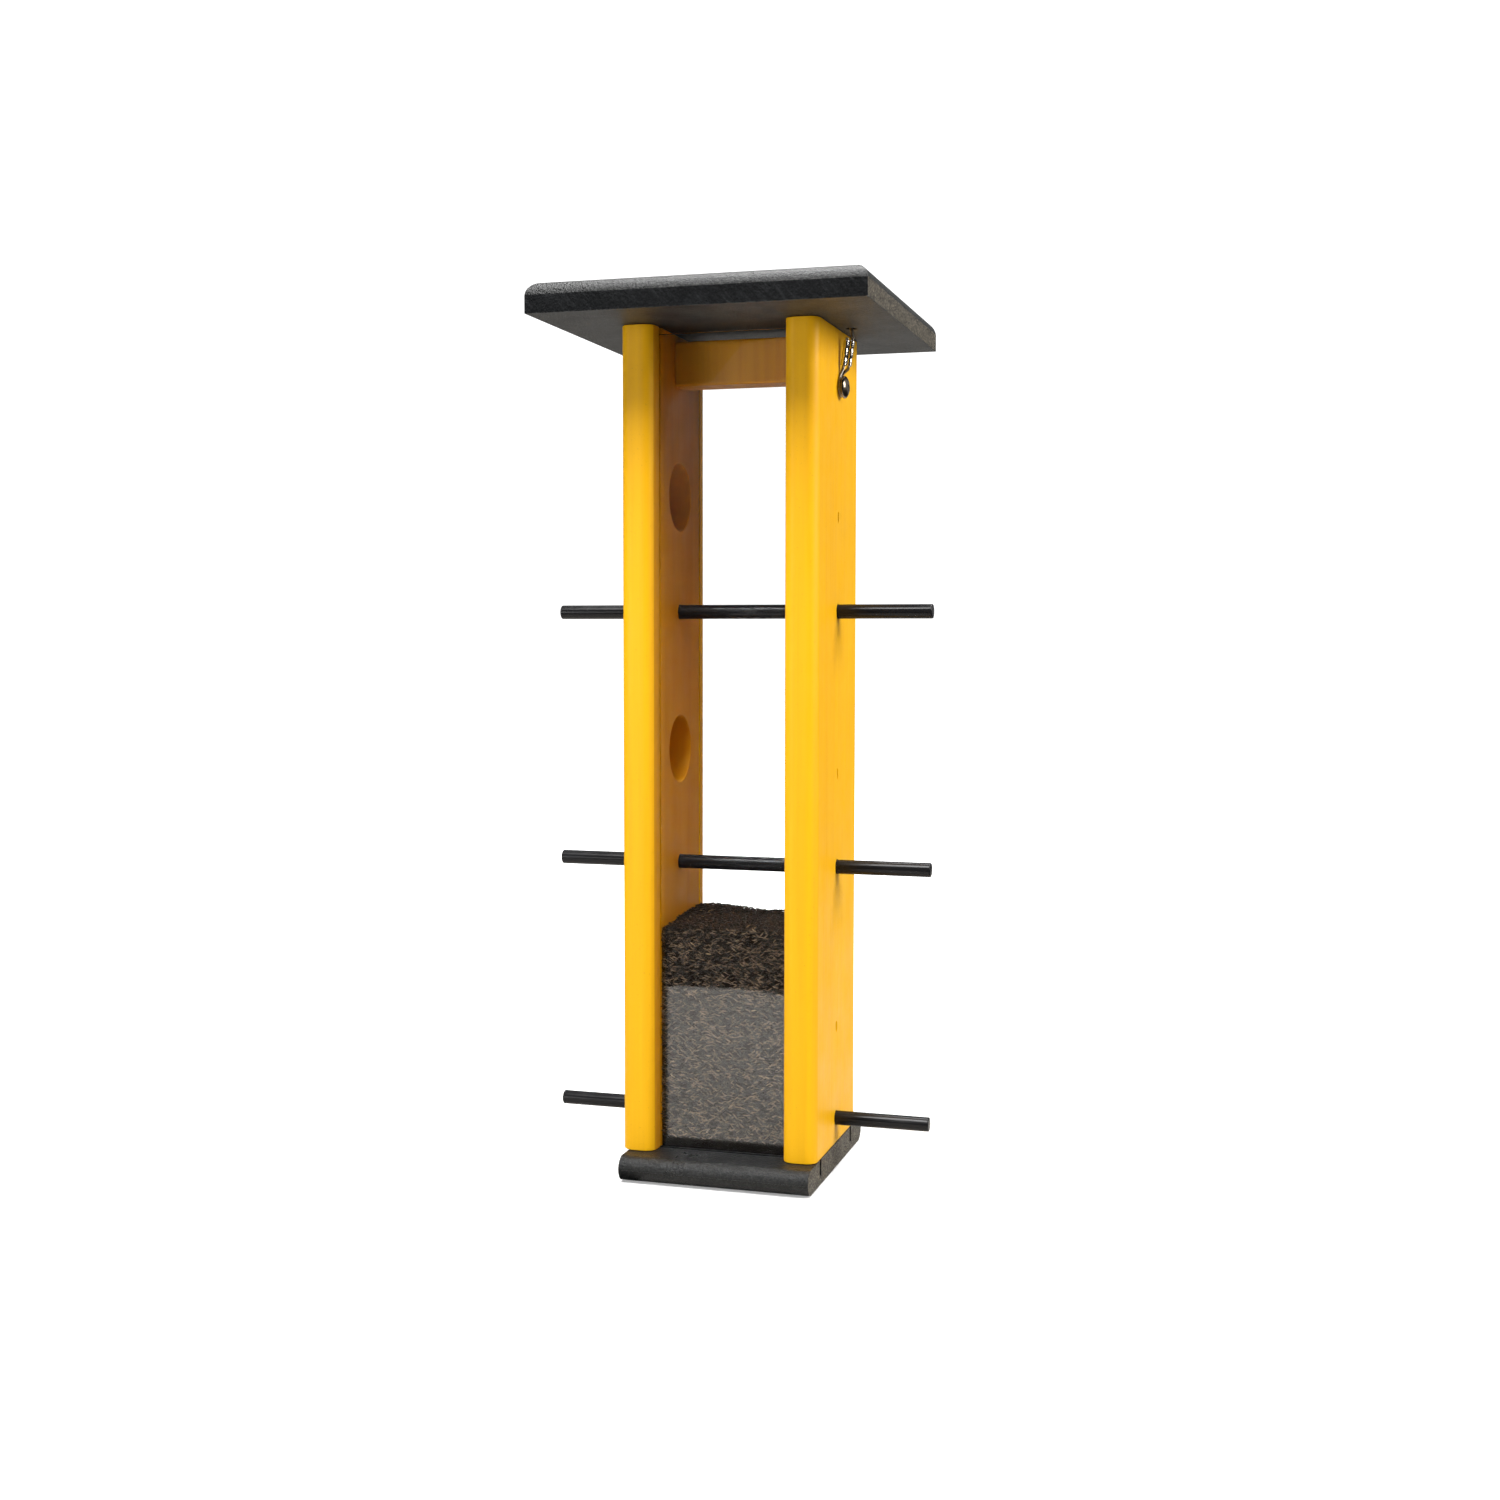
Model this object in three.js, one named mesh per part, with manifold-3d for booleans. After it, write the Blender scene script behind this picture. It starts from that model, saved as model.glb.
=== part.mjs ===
// Hanging finch feeder for nyjer seed: two painted boards joined by a base, a top rail and three
// perch rods, closed by two clear panels, under a loose roof that slides up its hanging cable.
//
// Millimetres. +X to the right, +Y to the back, +Z up. The origin is the centre of the base's
// underside.
import * as THREE from "three";
import { mergeVertices } from "three/addons/utils/BufferGeometryUtils.js";
import Module from "manifold-3d";

const wasm = await Module();
wasm.setup();

// ---------------------------------------------------------------- driving dimensions
const GAP = 0.3; // between pieces that rest on each other or fit in each other

const BASE = {
  thickness: 14,
  depth: 127, // front nose to back nose
  left: -52, // the sawn end stops short of the left board's face
  right: 55.5, // and is flush with the right board's
  kerfDepth: 9, // the saw cuts that hold the panels' lower edges
};
const BOARD = {
  thickness: 19,
  depth: 96,
  outerFace: 55.5,
  length: 453,
  roundOver: 6.35,
};
const KERF = { width: 3.2, y: 35.5, depth: 6.3 }; // panel grooves in the boards
const PANEL_THICKNESS = KERF.width - 2 * GAP;
const RAIL = { height: 24.8, width: 19, belowBoardTop: 4 };
const PERCH = { radius: 4, length: 218, lowest: 28.4, spacing: 142.3, chamfer: 0.7 };
const PORT = { width: 2.6, height: 6, abovePerch: 52 };
const POCKET = { radius: 19, depth: 14.5, abovePort: 12.7 };
const ROOF = { size: 184, thickness: 17, roundOver: 8, cableHoleX: 62, cableHoleRadius: 3 };
const CABLE = { diameter: 1.8, sides: 8 };
const CABLE_SCREW = {
  z: 436,
  headRadius: 6.2,
  headHeight: 3.2,
  shankRadius: 2.2,
  grip: 13.5,
};
const FERRULE = { barrelRadius: 1.6, length: 14, bottomZ: 447.5, spread: 1.5, twist: 60 };
const BASE_SCREW = { headRadius: 3.9, headHeight: 2.8, shankRadius: 1.9, length: 33, x: 46, y: 22 };
const NAIL = { radius: 0.8, length: 36, y: 5, set: 0.8 };
const SEED = { frontTop: 138, backTop: 140, crown: 3 };

// ---------------------------------------------------------------- derived places
const innerFace = BOARD.outerFace - BOARD.thickness;
const boardBottom = BASE.thickness + GAP;
const boardTop = boardBottom + BOARD.length;
const railTop = boardTop - RAIL.belowBoardTop;
const railMiddle = railTop - RAIL.height / 2;
const roofBottom = boardTop + GAP;
const roofTop = roofBottom + ROOF.thickness;
const perchHeights = [0, 1, 2].map((i) => PERCH.lowest + i * PERCH.spacing);
const cableOnRoof = roofTop + GAP + CABLE.diameter / 2;

// ---------------------------------------------------------------- materials
const finish = (color, roughness, metalness = 0, opacity = 1) =>
  new THREE.MeshStandardMaterial({ color, roughness, metalness, opacity, transparent: opacity < 1 });
const yellowPaint = finish(0xf6bd14, 0.55);
const blackLumber = finish(0x26282a, 0.6);
const blackRod = finish(0x151617, 0.4);
const clearPanel = finish(0xf2f4f4, 0.08, 0, 0.25);
const steel = finish(0xc4c4c2, 0.28, 1);
const screwSteel = finish(0x9c9a94, 0.35, 1);
const seedBrown = finish(0x33261f, 0.85);

// ---------------------------------------------------------------- solids
/** A closed geometry as a solid that can be joined and cut. */
function solid(geometry) {
  const bare = geometry.index ? geometry.toNonIndexed() : geometry.clone();
  bare.deleteAttribute("normal");
  bare.deleteAttribute("uv");
  const merged = mergeVertices(bare, 1e-4);
  return new wasm.Manifold(
    new wasm.Mesh({
      numProp: 3,
      vertProperties: new Float32Array(merged.attributes.position.array),
      triVerts: new Uint32Array(merged.index.array),
    }),
  );
}

/** A solid's faces as a geometry with flat shading. */
function geometryOf(manifold) {
  const mesh = manifold.getMesh();
  const geometry = new THREE.BufferGeometry();
  geometry.setAttribute("position", new THREE.BufferAttribute(mesh.vertProperties.slice(), 3));
  geometry.setIndex(new THREE.BufferAttribute(mesh.triVerts.slice(), 1));
  geometry.computeVertexNormals();
  return geometry;
}

/** A closed geometry moved by a matrix, as a solid. */
const placed = (geometry, matrix) => solid(geometry.clone().applyMatrix4(matrix));

/** A box between two corners. */
function box(low, high) {
  const size = high.map((value, i) => value - low[i]);
  const middle = high.map((value, i) => (value + low[i]) / 2);
  return placed(new THREE.BoxGeometry(...size), new THREE.Matrix4().makeTranslation(...middle));
}

/** A cylinder along X from x0 to x1. */
function rodAlongX(radius, x0, x1, y, z, segments = 24) {
  const matrix = new THREE.Matrix4()
    .makeTranslation((x0 + x1) / 2, y, z)
    .multiply(new THREE.Matrix4().makeRotationZ(Math.PI / 2));
  return placed(new THREE.CylinderGeometry(radius, radius, x1 - x0, segments), matrix);
}

/** A cylinder or cone along Z from z0 to z1. */
function coneAlongZ(radius0, radius1, z0, z1, x, y, segments = 24) {
  const matrix = new THREE.Matrix4()
    .makeTranslation(x, y, (z0 + z1) / 2)
    .multiply(new THREE.Matrix4().makeRotationX(Math.PI / 2));
  return placed(new THREE.CylinderGeometry(radius1, radius0, z1 - z0, segments), matrix);
}

/** A flat outline in X and Y, raised along Z from z0 to z1. */
function raised(shape, z0, z1, curveSegments = 6) {
  const geometry = new THREE.ExtrudeGeometry(shape, {
    depth: z1 - z0,
    bevelEnabled: false,
    curveSegments,
  });
  return placed(geometry, new THREE.Matrix4().makeTranslation(0, 0, z0));
}

/** An outline drawn in (Y, Z), swept along X from x0 to x1. */
function sweptAlongX(shape, x0, x1, curveSegments = 6) {
  const geometry = new THREE.ExtrudeGeometry(shape, {
    depth: x1 - x0,
    bevelEnabled: false,
    curveSegments,
  });
  const axes = new THREE.Matrix4().makeBasis(
    new THREE.Vector3(0, 1, 0),
    new THREE.Vector3(0, 0, 1),
    new THREE.Vector3(1, 0, 0),
  );
  return placed(geometry, new THREE.Matrix4().makeTranslation(x0, 0, 0).multiply(axes));
}

/** A round tube along a smooth curve through the points. */
function tube(points, steps, radius = CABLE.diameter / 2) {
  const section = new THREE.Shape();
  section.absarc(0, 0, radius, 0, 2 * Math.PI, false);
  const path = new THREE.CatmullRomCurve3(points.map((p) => new THREE.Vector3(...p)));
  const geometry = new THREE.ExtrudeGeometry(section, {
    steps,
    curveSegments: CABLE.sides / 2,
    bevelEnabled: false,
    extrudePath: path,
  });
  return solid(geometry);
}

/** A turned profile of (radius, height) pairs, spun about Z. */
function turned(profile, segments = 24) {
  const points = profile.map(([r, h]) => new THREE.Vector2(r, h));
  const geometry = new THREE.LatheGeometry(points, segments);
  return placed(geometry, new THREE.Matrix4().makeRotationX(Math.PI / 2));
}

// ---------------------------------------------------------------- wood and plastic
/** The right board's section: rounded corners and a panel groove near each edge. */
function boardSection() {
  const half = BOARD.depth / 2;
  const r = BOARD.roundOver;
  const shape = new THREE.Shape();
  shape.moveTo(innerFace, -half + r);
  for (const side of [-1, 1]) {
    const from = side * KERF.y - KERF.width / 2;
    shape.lineTo(innerFace, from);
    shape.lineTo(innerFace + KERF.depth, from);
    shape.lineTo(innerFace + KERF.depth, from + KERF.width);
    shape.lineTo(innerFace, from + KERF.width);
  }
  shape.lineTo(innerFace, half - r);
  shape.absarc(innerFace + r, half - r, r, Math.PI, Math.PI / 2, true);
  shape.absarc(BOARD.outerFace - r, half - r, r, Math.PI / 2, 0, true);
  shape.absarc(BOARD.outerFace - r, -half + r, r, 0, -Math.PI / 2, true);
  shape.absarc(innerFace + r, -half + r, r, -Math.PI / 2, -Math.PI, true);
  return shape;
}

/** The slot through which a bird reaches the seed: upright, with round ends. */
function portCutter(z) {
  const r = PORT.width / 2;
  const reach = PORT.height / 2 - r;
  const shape = new THREE.Shape();
  shape.absarc(0, z + reach, r, 0, Math.PI, false);
  shape.absarc(0, z - reach, r, Math.PI, 2 * Math.PI, false);
  return sweptAlongX(shape, innerFace, BOARD.outerFace + 1);
}

/** The right board, with its pockets, ports and holes. */
function rightBoard() {
  let board = raised(boardSection(), boardBottom, boardTop);
  for (const z of perchHeights) {
    const port = z + PORT.abovePerch;
    const pocket = port + POCKET.abovePort;
    board = board
      .subtract(rodAlongX(PERCH.radius + GAP, innerFace - 1, BOARD.outerFace + 1, 0, z))
      .subtract(portCutter(port))
      .subtract(rodAlongX(POCKET.radius, innerFace - 1, innerFace + POCKET.depth, 0, pocket, 40));
  }
  const screwTip = BOARD.outerFace - CABLE_SCREW.grip - GAP;
  board = board.subtract(
    rodAlongX(CABLE_SCREW.shankRadius + GAP, screwTip, BOARD.outerFace + 1, 0, CABLE_SCREW.z, 16),
  );
  for (const side of [-1, 1]) {
    const screwTop = BASE_SCREW.length + 2 * GAP;
    const radius = BASE_SCREW.shankRadius + GAP;
    board = board
      .subtract(coneAlongZ(radius, radius, 0, screwTop, BASE_SCREW.x, side * BASE_SCREW.y, 16))
      .subtract(
        rodAlongX(NAIL.radius + GAP, innerFace - 1, BOARD.outerFace + 1, side * NAIL.y, railMiddle, 12),
      );
  }
  return board;
}

/** The base: a bullnosed plank with two saw cuts along it and four countersunk screw holes. */
function base() {
  const r = BASE.thickness / 2;
  const nose = BASE.depth / 2 - r;
  const shape = new THREE.Shape();
  shape.absarc(nose, r, r, -Math.PI / 2, Math.PI / 2, false);
  shape.absarc(-nose, r, r, Math.PI / 2, (3 * Math.PI) / 2, false);
  let plank = sweptAlongX(shape, BASE.left, BASE.right, 12);
  for (const side of [-1, 1]) {
    plank = plank.subtract(
      box(
        [BASE.left - 1, side * KERF.y - KERF.width / 2, BASE.thickness - BASE.kerfDepth],
        [BASE.right + 1, side * KERF.y + KERF.width / 2, BASE.thickness + 1],
      ),
    );
    for (const x of [-BASE_SCREW.x, BASE_SCREW.x]) {
      const y = side * BASE_SCREW.y;
      const head = BASE_SCREW.headRadius + GAP;
      const shank = BASE_SCREW.shankRadius + GAP;
      plank = plank
        .subtract(coneAlongZ(shank, shank, -1, BASE.thickness + 1, x, y, 16))
        .subtract(coneAlongZ(head, head, -1, 2 * GAP, x, y))
        .subtract(coneAlongZ(head, shank, 2 * GAP, 2 * GAP + BASE_SCREW.headHeight, x, y));
    }
  }
  return plank;
}

/** A plank section whose two upper corners are rounded, drawn across and up. */
function roofSection() {
  const half = ROOF.size / 2;
  const r = ROOF.roundOver;
  const shape = new THREE.Shape();
  shape.moveTo(-half, roofBottom);
  shape.lineTo(half, roofBottom);
  shape.absarc(half - r, roofTop - r, r, 0, Math.PI / 2, false);
  shape.absarc(-half + r, roofTop - r, r, Math.PI / 2, Math.PI, false);
  return shape;
}

/** The roof: a square plank, rounded over along all four upper edges, with two cable holes. */
function roof() {
  const half = ROOF.size / 2;
  const alongX = sweptAlongX(roofSection(), -half, half, 8);
  let plank = alongX.intersect(alongX.rotate([0, 0, 90]));
  for (const side of [-1, 1]) {
    const r = ROOF.cableHoleRadius;
    plank = plank.subtract(
      coneAlongZ(r, r, roofBottom - 1, roofTop + 1, side * ROOF.cableHoleX, 0, 20),
    );
  }
  return plank;
}

/** The rail between the boards' tops. */
function topRail() {
  const end = innerFace - GAP;
  let rail = box(
    [-end, -RAIL.width / 2, railTop - RAIL.height],
    [end, RAIL.width / 2, railTop],
  );
  const nailTip = BOARD.outerFace - NAIL.set - NAIL.length - GAP;
  for (const side of [-1, 1]) {
    const hole = (x0, x1) => rodAlongX(NAIL.radius + GAP, x0, x1, side * NAIL.y, railMiddle, 12);
    rail = rail.subtract(hole(nailTip, end + 1)).subtract(hole(-end - 1, -nailTip));
  }
  return rail;
}

/** One clear panel, standing in the grooves of the boards and the base. */
function panel(y) {
  const edge = innerFace + KERF.depth - GAP;
  return box(
    [-edge, y - PANEL_THICKNESS / 2, BASE.thickness - BASE.kerfDepth + GAP],
    [edge, y + PANEL_THICKNESS / 2, railTop],
  );
}

/** One perch rod with chamfered ends, through both boards. */
function perch(z) {
  const half = PERCH.length / 2;
  const rod = turned([
    [0, -half],
    [PERCH.radius - PERCH.chamfer, -half],
    [PERCH.radius, -half + PERCH.chamfer],
    [PERCH.radius, half - PERCH.chamfer],
    [PERCH.radius - PERCH.chamfer, half],
    [0, half],
  ]);
  return rod.rotate([0, 90, 0]).translate([0, 0, z]);
}

/** The seed at the bottom of the hopper: a sloping top, and two plugs in the lowest pockets. */
function seedFill() {
  const half = KERF.y - PANEL_THICKNESS / 2 - GAP;
  const shape = new THREE.Shape();
  shape.moveTo(-half, BASE.thickness + GAP);
  shape.lineTo(half, BASE.thickness + GAP);
  shape.lineTo(half, SEED.backTop);
  const crownHeight = (SEED.frontTop + SEED.backTop) / 2 + 2 * SEED.crown;
  shape.quadraticCurveTo(0, crownHeight, -half, SEED.frontTop);
  const pocketZ = PERCH.lowest + PORT.abovePerch + POCKET.abovePort;
  const reach = innerFace + POCKET.depth - GAP;
  return sweptAlongX(shape, -innerFace + GAP, innerFace - GAP, 8)
    .add(rodAlongX(POCKET.radius - GAP, -reach, reach, 0, pocketZ, 40))
    .subtract(rodAlongX(PERCH.radius + GAP, -innerFace - 30, innerFace + 30, 0, PERCH.lowest));
}

// ---------------------------------------------------------------- hanging hardware
const eyePlane = BOARD.outerFace + GAP + CABLE.diameter / 2;
const headUnderside = BOARD.outerFace + 2 * GAP + CABLE.diameter;
const ferruleBottom = new THREE.Vector3(
  BOARD.outerFace + 2 * GAP + FERRULE.barrelRadius + FERRULE.spread,
  0,
  FERRULE.bottomZ,
);
const holeMouth = new THREE.Vector3(ROOF.cableHoleX, 0, roofBottom);
const ferruleAxis = holeMouth.clone().sub(ferruleBottom).normalize();
const twist = THREE.MathUtils.degToRad(FERRULE.twist);
const barrelOffset = new THREE.Vector3(Math.sin(twist), Math.cos(twist), 0).multiplyScalar(
  FERRULE.spread,
);

/** A point a given way along the ferrule's axis, in its outer (1) or inner (-1) barrel. */
const inBarrel = (along, barrel) =>
  ferruleBottom
    .clone()
    .addScaledVector(ferruleAxis, along)
    .addScaledVector(barrelOffset, barrel)
    .toArray();

/** The truss-head screw that holds the right end of the cable, its axis along X. */
function cableScrew() {
  const { headRadius, headHeight, shankRadius, grip } = CABLE_SCREW;
  const underside = headUnderside - BOARD.outerFace;
  const dome = [0, 1, 2, 3, 4, 5].map((i) => {
    const angle = (i / 5) * (Math.PI / 2);
    return [headRadius * Math.cos(angle), underside + 0.4 + (headHeight - 0.4) * Math.sin(angle)];
  });
  dome[5][0] = 0;
  const screw = turned([
    [0, -grip],
    [shankRadius, -grip + 4],
    [shankRadius, underside],
    [headRadius, underside],
    ...dome,
  ]);
  return screw.rotate([0, 90, 0]).translate([BOARD.outerFace, 0, CABLE_SCREW.z]);
}

/** The crimped sleeve: two round barrels side by side, joined along their length. */
function ferrule() {
  const barrel = (side) => {
    const from = new THREE.Vector3(...inBarrel(0, side));
    const to = new THREE.Vector3(...inBarrel(FERRULE.length, side));
    const turn = new THREE.Quaternion().setFromUnitVectors(
      new THREE.Vector3(0, 1, 0),
      ferruleAxis,
    );
    const matrix = new THREE.Matrix4().compose(
      from.add(to).multiplyScalar(0.5),
      turn,
      new THREE.Vector3(1, 1, 1),
    );
    const r = FERRULE.barrelRadius;
    return placed(new THREE.CylinderGeometry(r, r, FERRULE.length, 20), matrix);
  };
  return barrel(1).add(barrel(-1));
}

/** The cable's eye: out of one barrel, round the screw's shank, and back into the other. */
function cableEye() {
  const ring = CABLE_SCREW.shankRadius + CABLE.diameter / 2 + 1.4;
  const around = [-35, -5, 25, 60, 90, 120, 155, 185, 215].map((degrees) => {
    const angle = THREE.MathUtils.degToRad(degrees);
    return [eyePlane, ring * Math.cos(angle), CABLE_SCREW.z - ring * Math.sin(angle)];
  });
  const aboveHead = CABLE_SCREW.z + CABLE_SCREW.headRadius + 0.8;
  return tube(
    [
      inBarrel(-GAP, 1),
      inBarrel(-1.2, 1),
      [eyePlane + 0.1, 1.5, aboveHead],
      ...around,
      [eyePlane, -1.4, aboveHead],
      inBarrel(-1.2, -1),
      inBarrel(-GAP, -1),
    ],
    52,
  );
}

/** The cable between the ferrule and the hole in the roof's underside. */
function cableLeg() {
  const from = inBarrel(FERRULE.length + GAP, 1);
  const to = holeMouth.clone().setZ(roofBottom - GAP).toArray();
  return tube([from, to.map((value, i) => (value + from[i]) / 2), to], 4);
}

// The cable from the right hole to the middle of the loop that lies on the roof. The left half
// mirrors it.
const h = cableOnRoof;
const bailHalf = [
  [ROOF.cableHoleX, 0, roofBottom],
  [ROOF.cableHoleX, 0, roofBottom + 9],
  [62.2, 0.8, h - 1],
  [63.6, 4.2, h + 4.6],
  [66.4, 10.6, h + 6.4],
  [69.8, 19, h + 3.6],
  [73.2, 28.6, h + 0.6],
  [76.4, 39, h],
  [77.8, 50, h],
  [76, 60.5, h],
  [69.6, 69.4, h],
  [59, 75.6, h],
  [45.6, 78.8, h],
  [30.6, 80.2, h],
  [15.4, 80.6, h],
];

/** The cable above the roof's underside: up through both holes, and laid on the roof. */
function cableBail() {
  const mirrored = bailHalf.map(([x, y, z]) => [-x, y, z]);
  return tube([...bailHalf, [0, 80.7, h], ...mirrored.reverse()], 78);
}

// ---------------------------------------------------------------- fixings
/** A countersunk wood screw, driven up through the base into a board's end. */
function baseScrew(x, y) {
  const { headRadius, headHeight, shankRadius, length } = BASE_SCREW;
  const bottom = 2 * GAP;
  const screw = turned(
    [
      [0, bottom],
      [headRadius, bottom],
      [shankRadius, bottom + headHeight],
      [shankRadius, length - 5],
      [0, length],
    ],
    16,
  );
  return screw.translate([x, y, 0]);
}

/** A finishing nail, driven through a board into the rail's end and set below the paint. */
function railNail(side, y) {
  const head = BOARD.outerFace - NAIL.set;
  const [x0, x1] = side > 0 ? [head - NAIL.length, head] : [-head, NAIL.length - head];
  return rodAlongX(NAIL.radius, x0, x1, y, railMiddle, 10);
}

// ---------------------------------------------------------------- assembly
const group = new THREE.Group();

/** Adds one named piece. */
function add(name, shape, material) {
  const mesh = new THREE.Mesh(geometryOf(shape), material);
  mesh.name = name;
  group.add(mesh);
}

/** Adds a right-hand piece and its left-hand twin, which is turned half a turn about Z. */
function addPair(name, shape, material) {
  add(`${name}_right`, shape, material);
  add(`${name}_left`, shape.rotate([0, 0, 180]), material);
}

add("base", base(), blackLumber);
addPair("side_board", rightBoard(), yellowPaint);
add("top_rail", topRail(), yellowPaint);
add("panel_front", panel(-KERF.y), clearPanel);
add("panel_back", panel(KERF.y), clearPanel);
["bottom", "middle", "top"].forEach((name, i) => {
  add(`perch_${name}`, perch(perchHeights[i]), blackRod);
});
add("seed_fill", seedFill(), seedBrown);
add("roof", roof(), blackLumber);
addPair("cable_screw", cableScrew(), screwSteel);
addPair("ferrule", ferrule(), steel);
addPair("cable_eye", cableEye(), steel);
addPair("cable_leg", cableLeg(), steel);
add("cable_bail", cableBail(), steel);
for (const [across, x] of [["left", -BASE_SCREW.x], ["right", BASE_SCREW.x]]) {
  for (const [along, y] of [["front", -1], ["back", 1]]) {
    add(`base_screw_${across}_${along}`, baseScrew(x, y * BASE_SCREW.y), screwSteel);
    add(`rail_nail_${across}_${along}`, railNail(Math.sign(x), y * NAIL.y), screwSteel);
  }
}

export default group;
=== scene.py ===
"""Hanging finch feeder: painted boards, clear panels, plank roof and base, rods, seed and wire rope.

Lengths are in metres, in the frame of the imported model: +X right, +Y back, +Z up, with the origin under
the middle of the base.
"""

import logging
import math
from dataclasses import dataclass, field
from enum import Enum
from typing import Callable, Sequence

import bmesh
import bpy
from mathutils import Matrix, Quaternion, Vector, noise


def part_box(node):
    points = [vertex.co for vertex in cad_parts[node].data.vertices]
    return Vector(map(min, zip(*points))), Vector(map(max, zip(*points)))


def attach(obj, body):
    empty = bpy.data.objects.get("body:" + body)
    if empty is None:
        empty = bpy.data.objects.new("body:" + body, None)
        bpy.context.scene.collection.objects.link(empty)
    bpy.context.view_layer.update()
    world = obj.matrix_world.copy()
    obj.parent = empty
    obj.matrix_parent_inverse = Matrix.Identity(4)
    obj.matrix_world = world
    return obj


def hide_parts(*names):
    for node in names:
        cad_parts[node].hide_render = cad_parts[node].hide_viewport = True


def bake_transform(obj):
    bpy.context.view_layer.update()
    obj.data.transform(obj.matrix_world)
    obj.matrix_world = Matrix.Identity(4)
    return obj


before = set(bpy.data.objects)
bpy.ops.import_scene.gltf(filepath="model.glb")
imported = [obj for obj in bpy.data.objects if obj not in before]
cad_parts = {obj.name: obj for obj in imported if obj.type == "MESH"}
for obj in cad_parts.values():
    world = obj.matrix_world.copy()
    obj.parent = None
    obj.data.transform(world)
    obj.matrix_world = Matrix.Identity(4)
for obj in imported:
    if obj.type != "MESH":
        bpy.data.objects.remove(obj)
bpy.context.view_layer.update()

LOG = logging.getLogger("finch_feeder")
MM = 0.001
TAU = 2 * math.pi
HOUSING = "housing"
ROOF = "roof"
Colour = tuple[float, float, float]
Point = tuple[float, float, float]
Outline = list[tuple[float, float]]
Piece = bpy.types.Object
Material = bpy.types.Material
Socket = bpy.types.NodeSocket

BOARD_SLIT_ABOVE_PERCH = 52 * MM
BOARD_POCKET_ABOVE_SLIT = 12.7 * MM
PANEL_GROOVE_WIDTH = 3.2 * MM
PANEL_GROOVE_Y = 35.5 * MM
CABLE_DIAMETER = 1.8 * MM
CABLE_HOLE_X = 62 * MM


class Side(Enum):
    """The two sides of the feeder, as the sign of X."""

    LEFT = -1
    RIGHT = 1

    @property
    def label(self) -> str:
        """The word used in piece names."""
        return self.name.lower()


class Lie(Enum):
    """How single grains lie on what they are scattered over."""

    PRESSED = "pressed flat against a panel, mostly level"
    TUMBLED = "fallen any way round"


# ------------------------------------------------------------------------------------------- meshes
def new_object(name: str, mesh: bpy.types.Mesh) -> Piece:
    """Links a mesh into the scene as an object at the origin.

    Args:
        name: The piece's name.
        mesh: Its mesh, already in place.

    Returns:
        The new object.
    """
    piece = bpy.data.objects.new(name, mesh)
    bpy.context.scene.collection.objects.link(piece)
    return piece


def from_faces(name: str, points: Sequence[Sequence[float]], faces: Sequence[Sequence[int]]) -> Piece:
    """Makes an object from points and faces, with its faces pointing out.

    Args:
        name: The piece's name.
        points: Vertex positions in metres.
        faces: Vertex numbers of each face.

    Returns:
        The new object.
    """
    mesh = bpy.data.meshes.new(name)
    mesh.from_pydata([tuple(p) for p in points], [], [tuple(f) for f in faces])
    shape = bmesh.new()
    shape.from_mesh(mesh)
    bmesh.ops.remove_doubles(shape, verts=shape.verts, dist=1e-7)
    bmesh.ops.recalc_face_normals(shape, faces=shape.faces)
    shape.to_mesh(mesh)
    shape.free()
    return new_object(name, mesh)


def loft(name: str, rings: Sequence[Sequence[Sequence[float]]]) -> Piece:
    """Joins rings of equal length into a closed skin with flat ends.

    Args:
        name: The piece's name.
        rings: The rings of points, from one end to the other.

    Returns:
        The new object.
    """
    count = len(rings[0])
    points = [p for ring in rings for p in ring]
    faces = []
    for i in range(len(rings) - 1):
        for j in range(count):
            k = (j + 1) % count
            faces.append((i * count + j, i * count + k, (i + 1) * count + k, (i + 1) * count + j))
    faces.append(tuple(reversed(range(count))))
    faces.append(tuple(range((len(rings) - 1) * count, len(rings) * count)))
    return from_faces(name, points, faces)


def turned(name: str, profile: Outline, place: Matrix, segments: int = 48) -> Piece:
    """Spins a profile about the Z axis and moves the result.

    Args:
        name: The piece's name.
        profile: (radius, height) pairs from the bottom pole to the top pole, both on the axis.
        place: Where the Z axis goes.
        segments: Steps round the axis.

    Returns:
        The new object.
    """
    points = [place @ Vector((0, 0, profile[0][1]))]
    for radius, height in profile[1:-1]:
        for k in range(segments):
            angle = TAU * k / segments
            points.append(place @ Vector((radius * math.cos(angle), radius * math.sin(angle), height)))
    points.append(place @ Vector((0, 0, profile[-1][1])))
    rings, last = len(profile) - 2, len(points) - 1
    faces = []
    for k in range(segments):
        n = (k + 1) % segments
        faces.append((0, 1 + n, 1 + k))
        for i in range(rings - 1):
            a, b = 1 + i * segments, 1 + (i + 1) * segments
            faces.append((a + k, a + n, b + n, b + k))
        end = 1 + (rings - 1) * segments
        faces.append((last, end + k, end + n))
    return from_faces(name, points, faces)


def along(axis: Sequence[float], origin: Sequence[float]) -> Matrix:
    """A matrix that lays the Z axis along another direction.

    Args:
        axis: The direction that Z takes.
        origin: Where the origin goes.

    Returns:
        The matrix.
    """
    turn = Vector(axis).to_track_quat("Z", "Y").to_matrix().to_4x4()
    return Matrix.Translation(Vector(origin)) @ turn


def arc(cx: float, cy: float, radius: float, start: float, end: float, steps: int) -> Outline:
    """Points on an arc, ends included; angles in degrees."""
    angles = [math.radians(start + (end - start) * i / steps) for i in range(steps + 1)]
    return [(cx + radius * math.cos(a), cy + radius * math.sin(a)) for a in angles]


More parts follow.
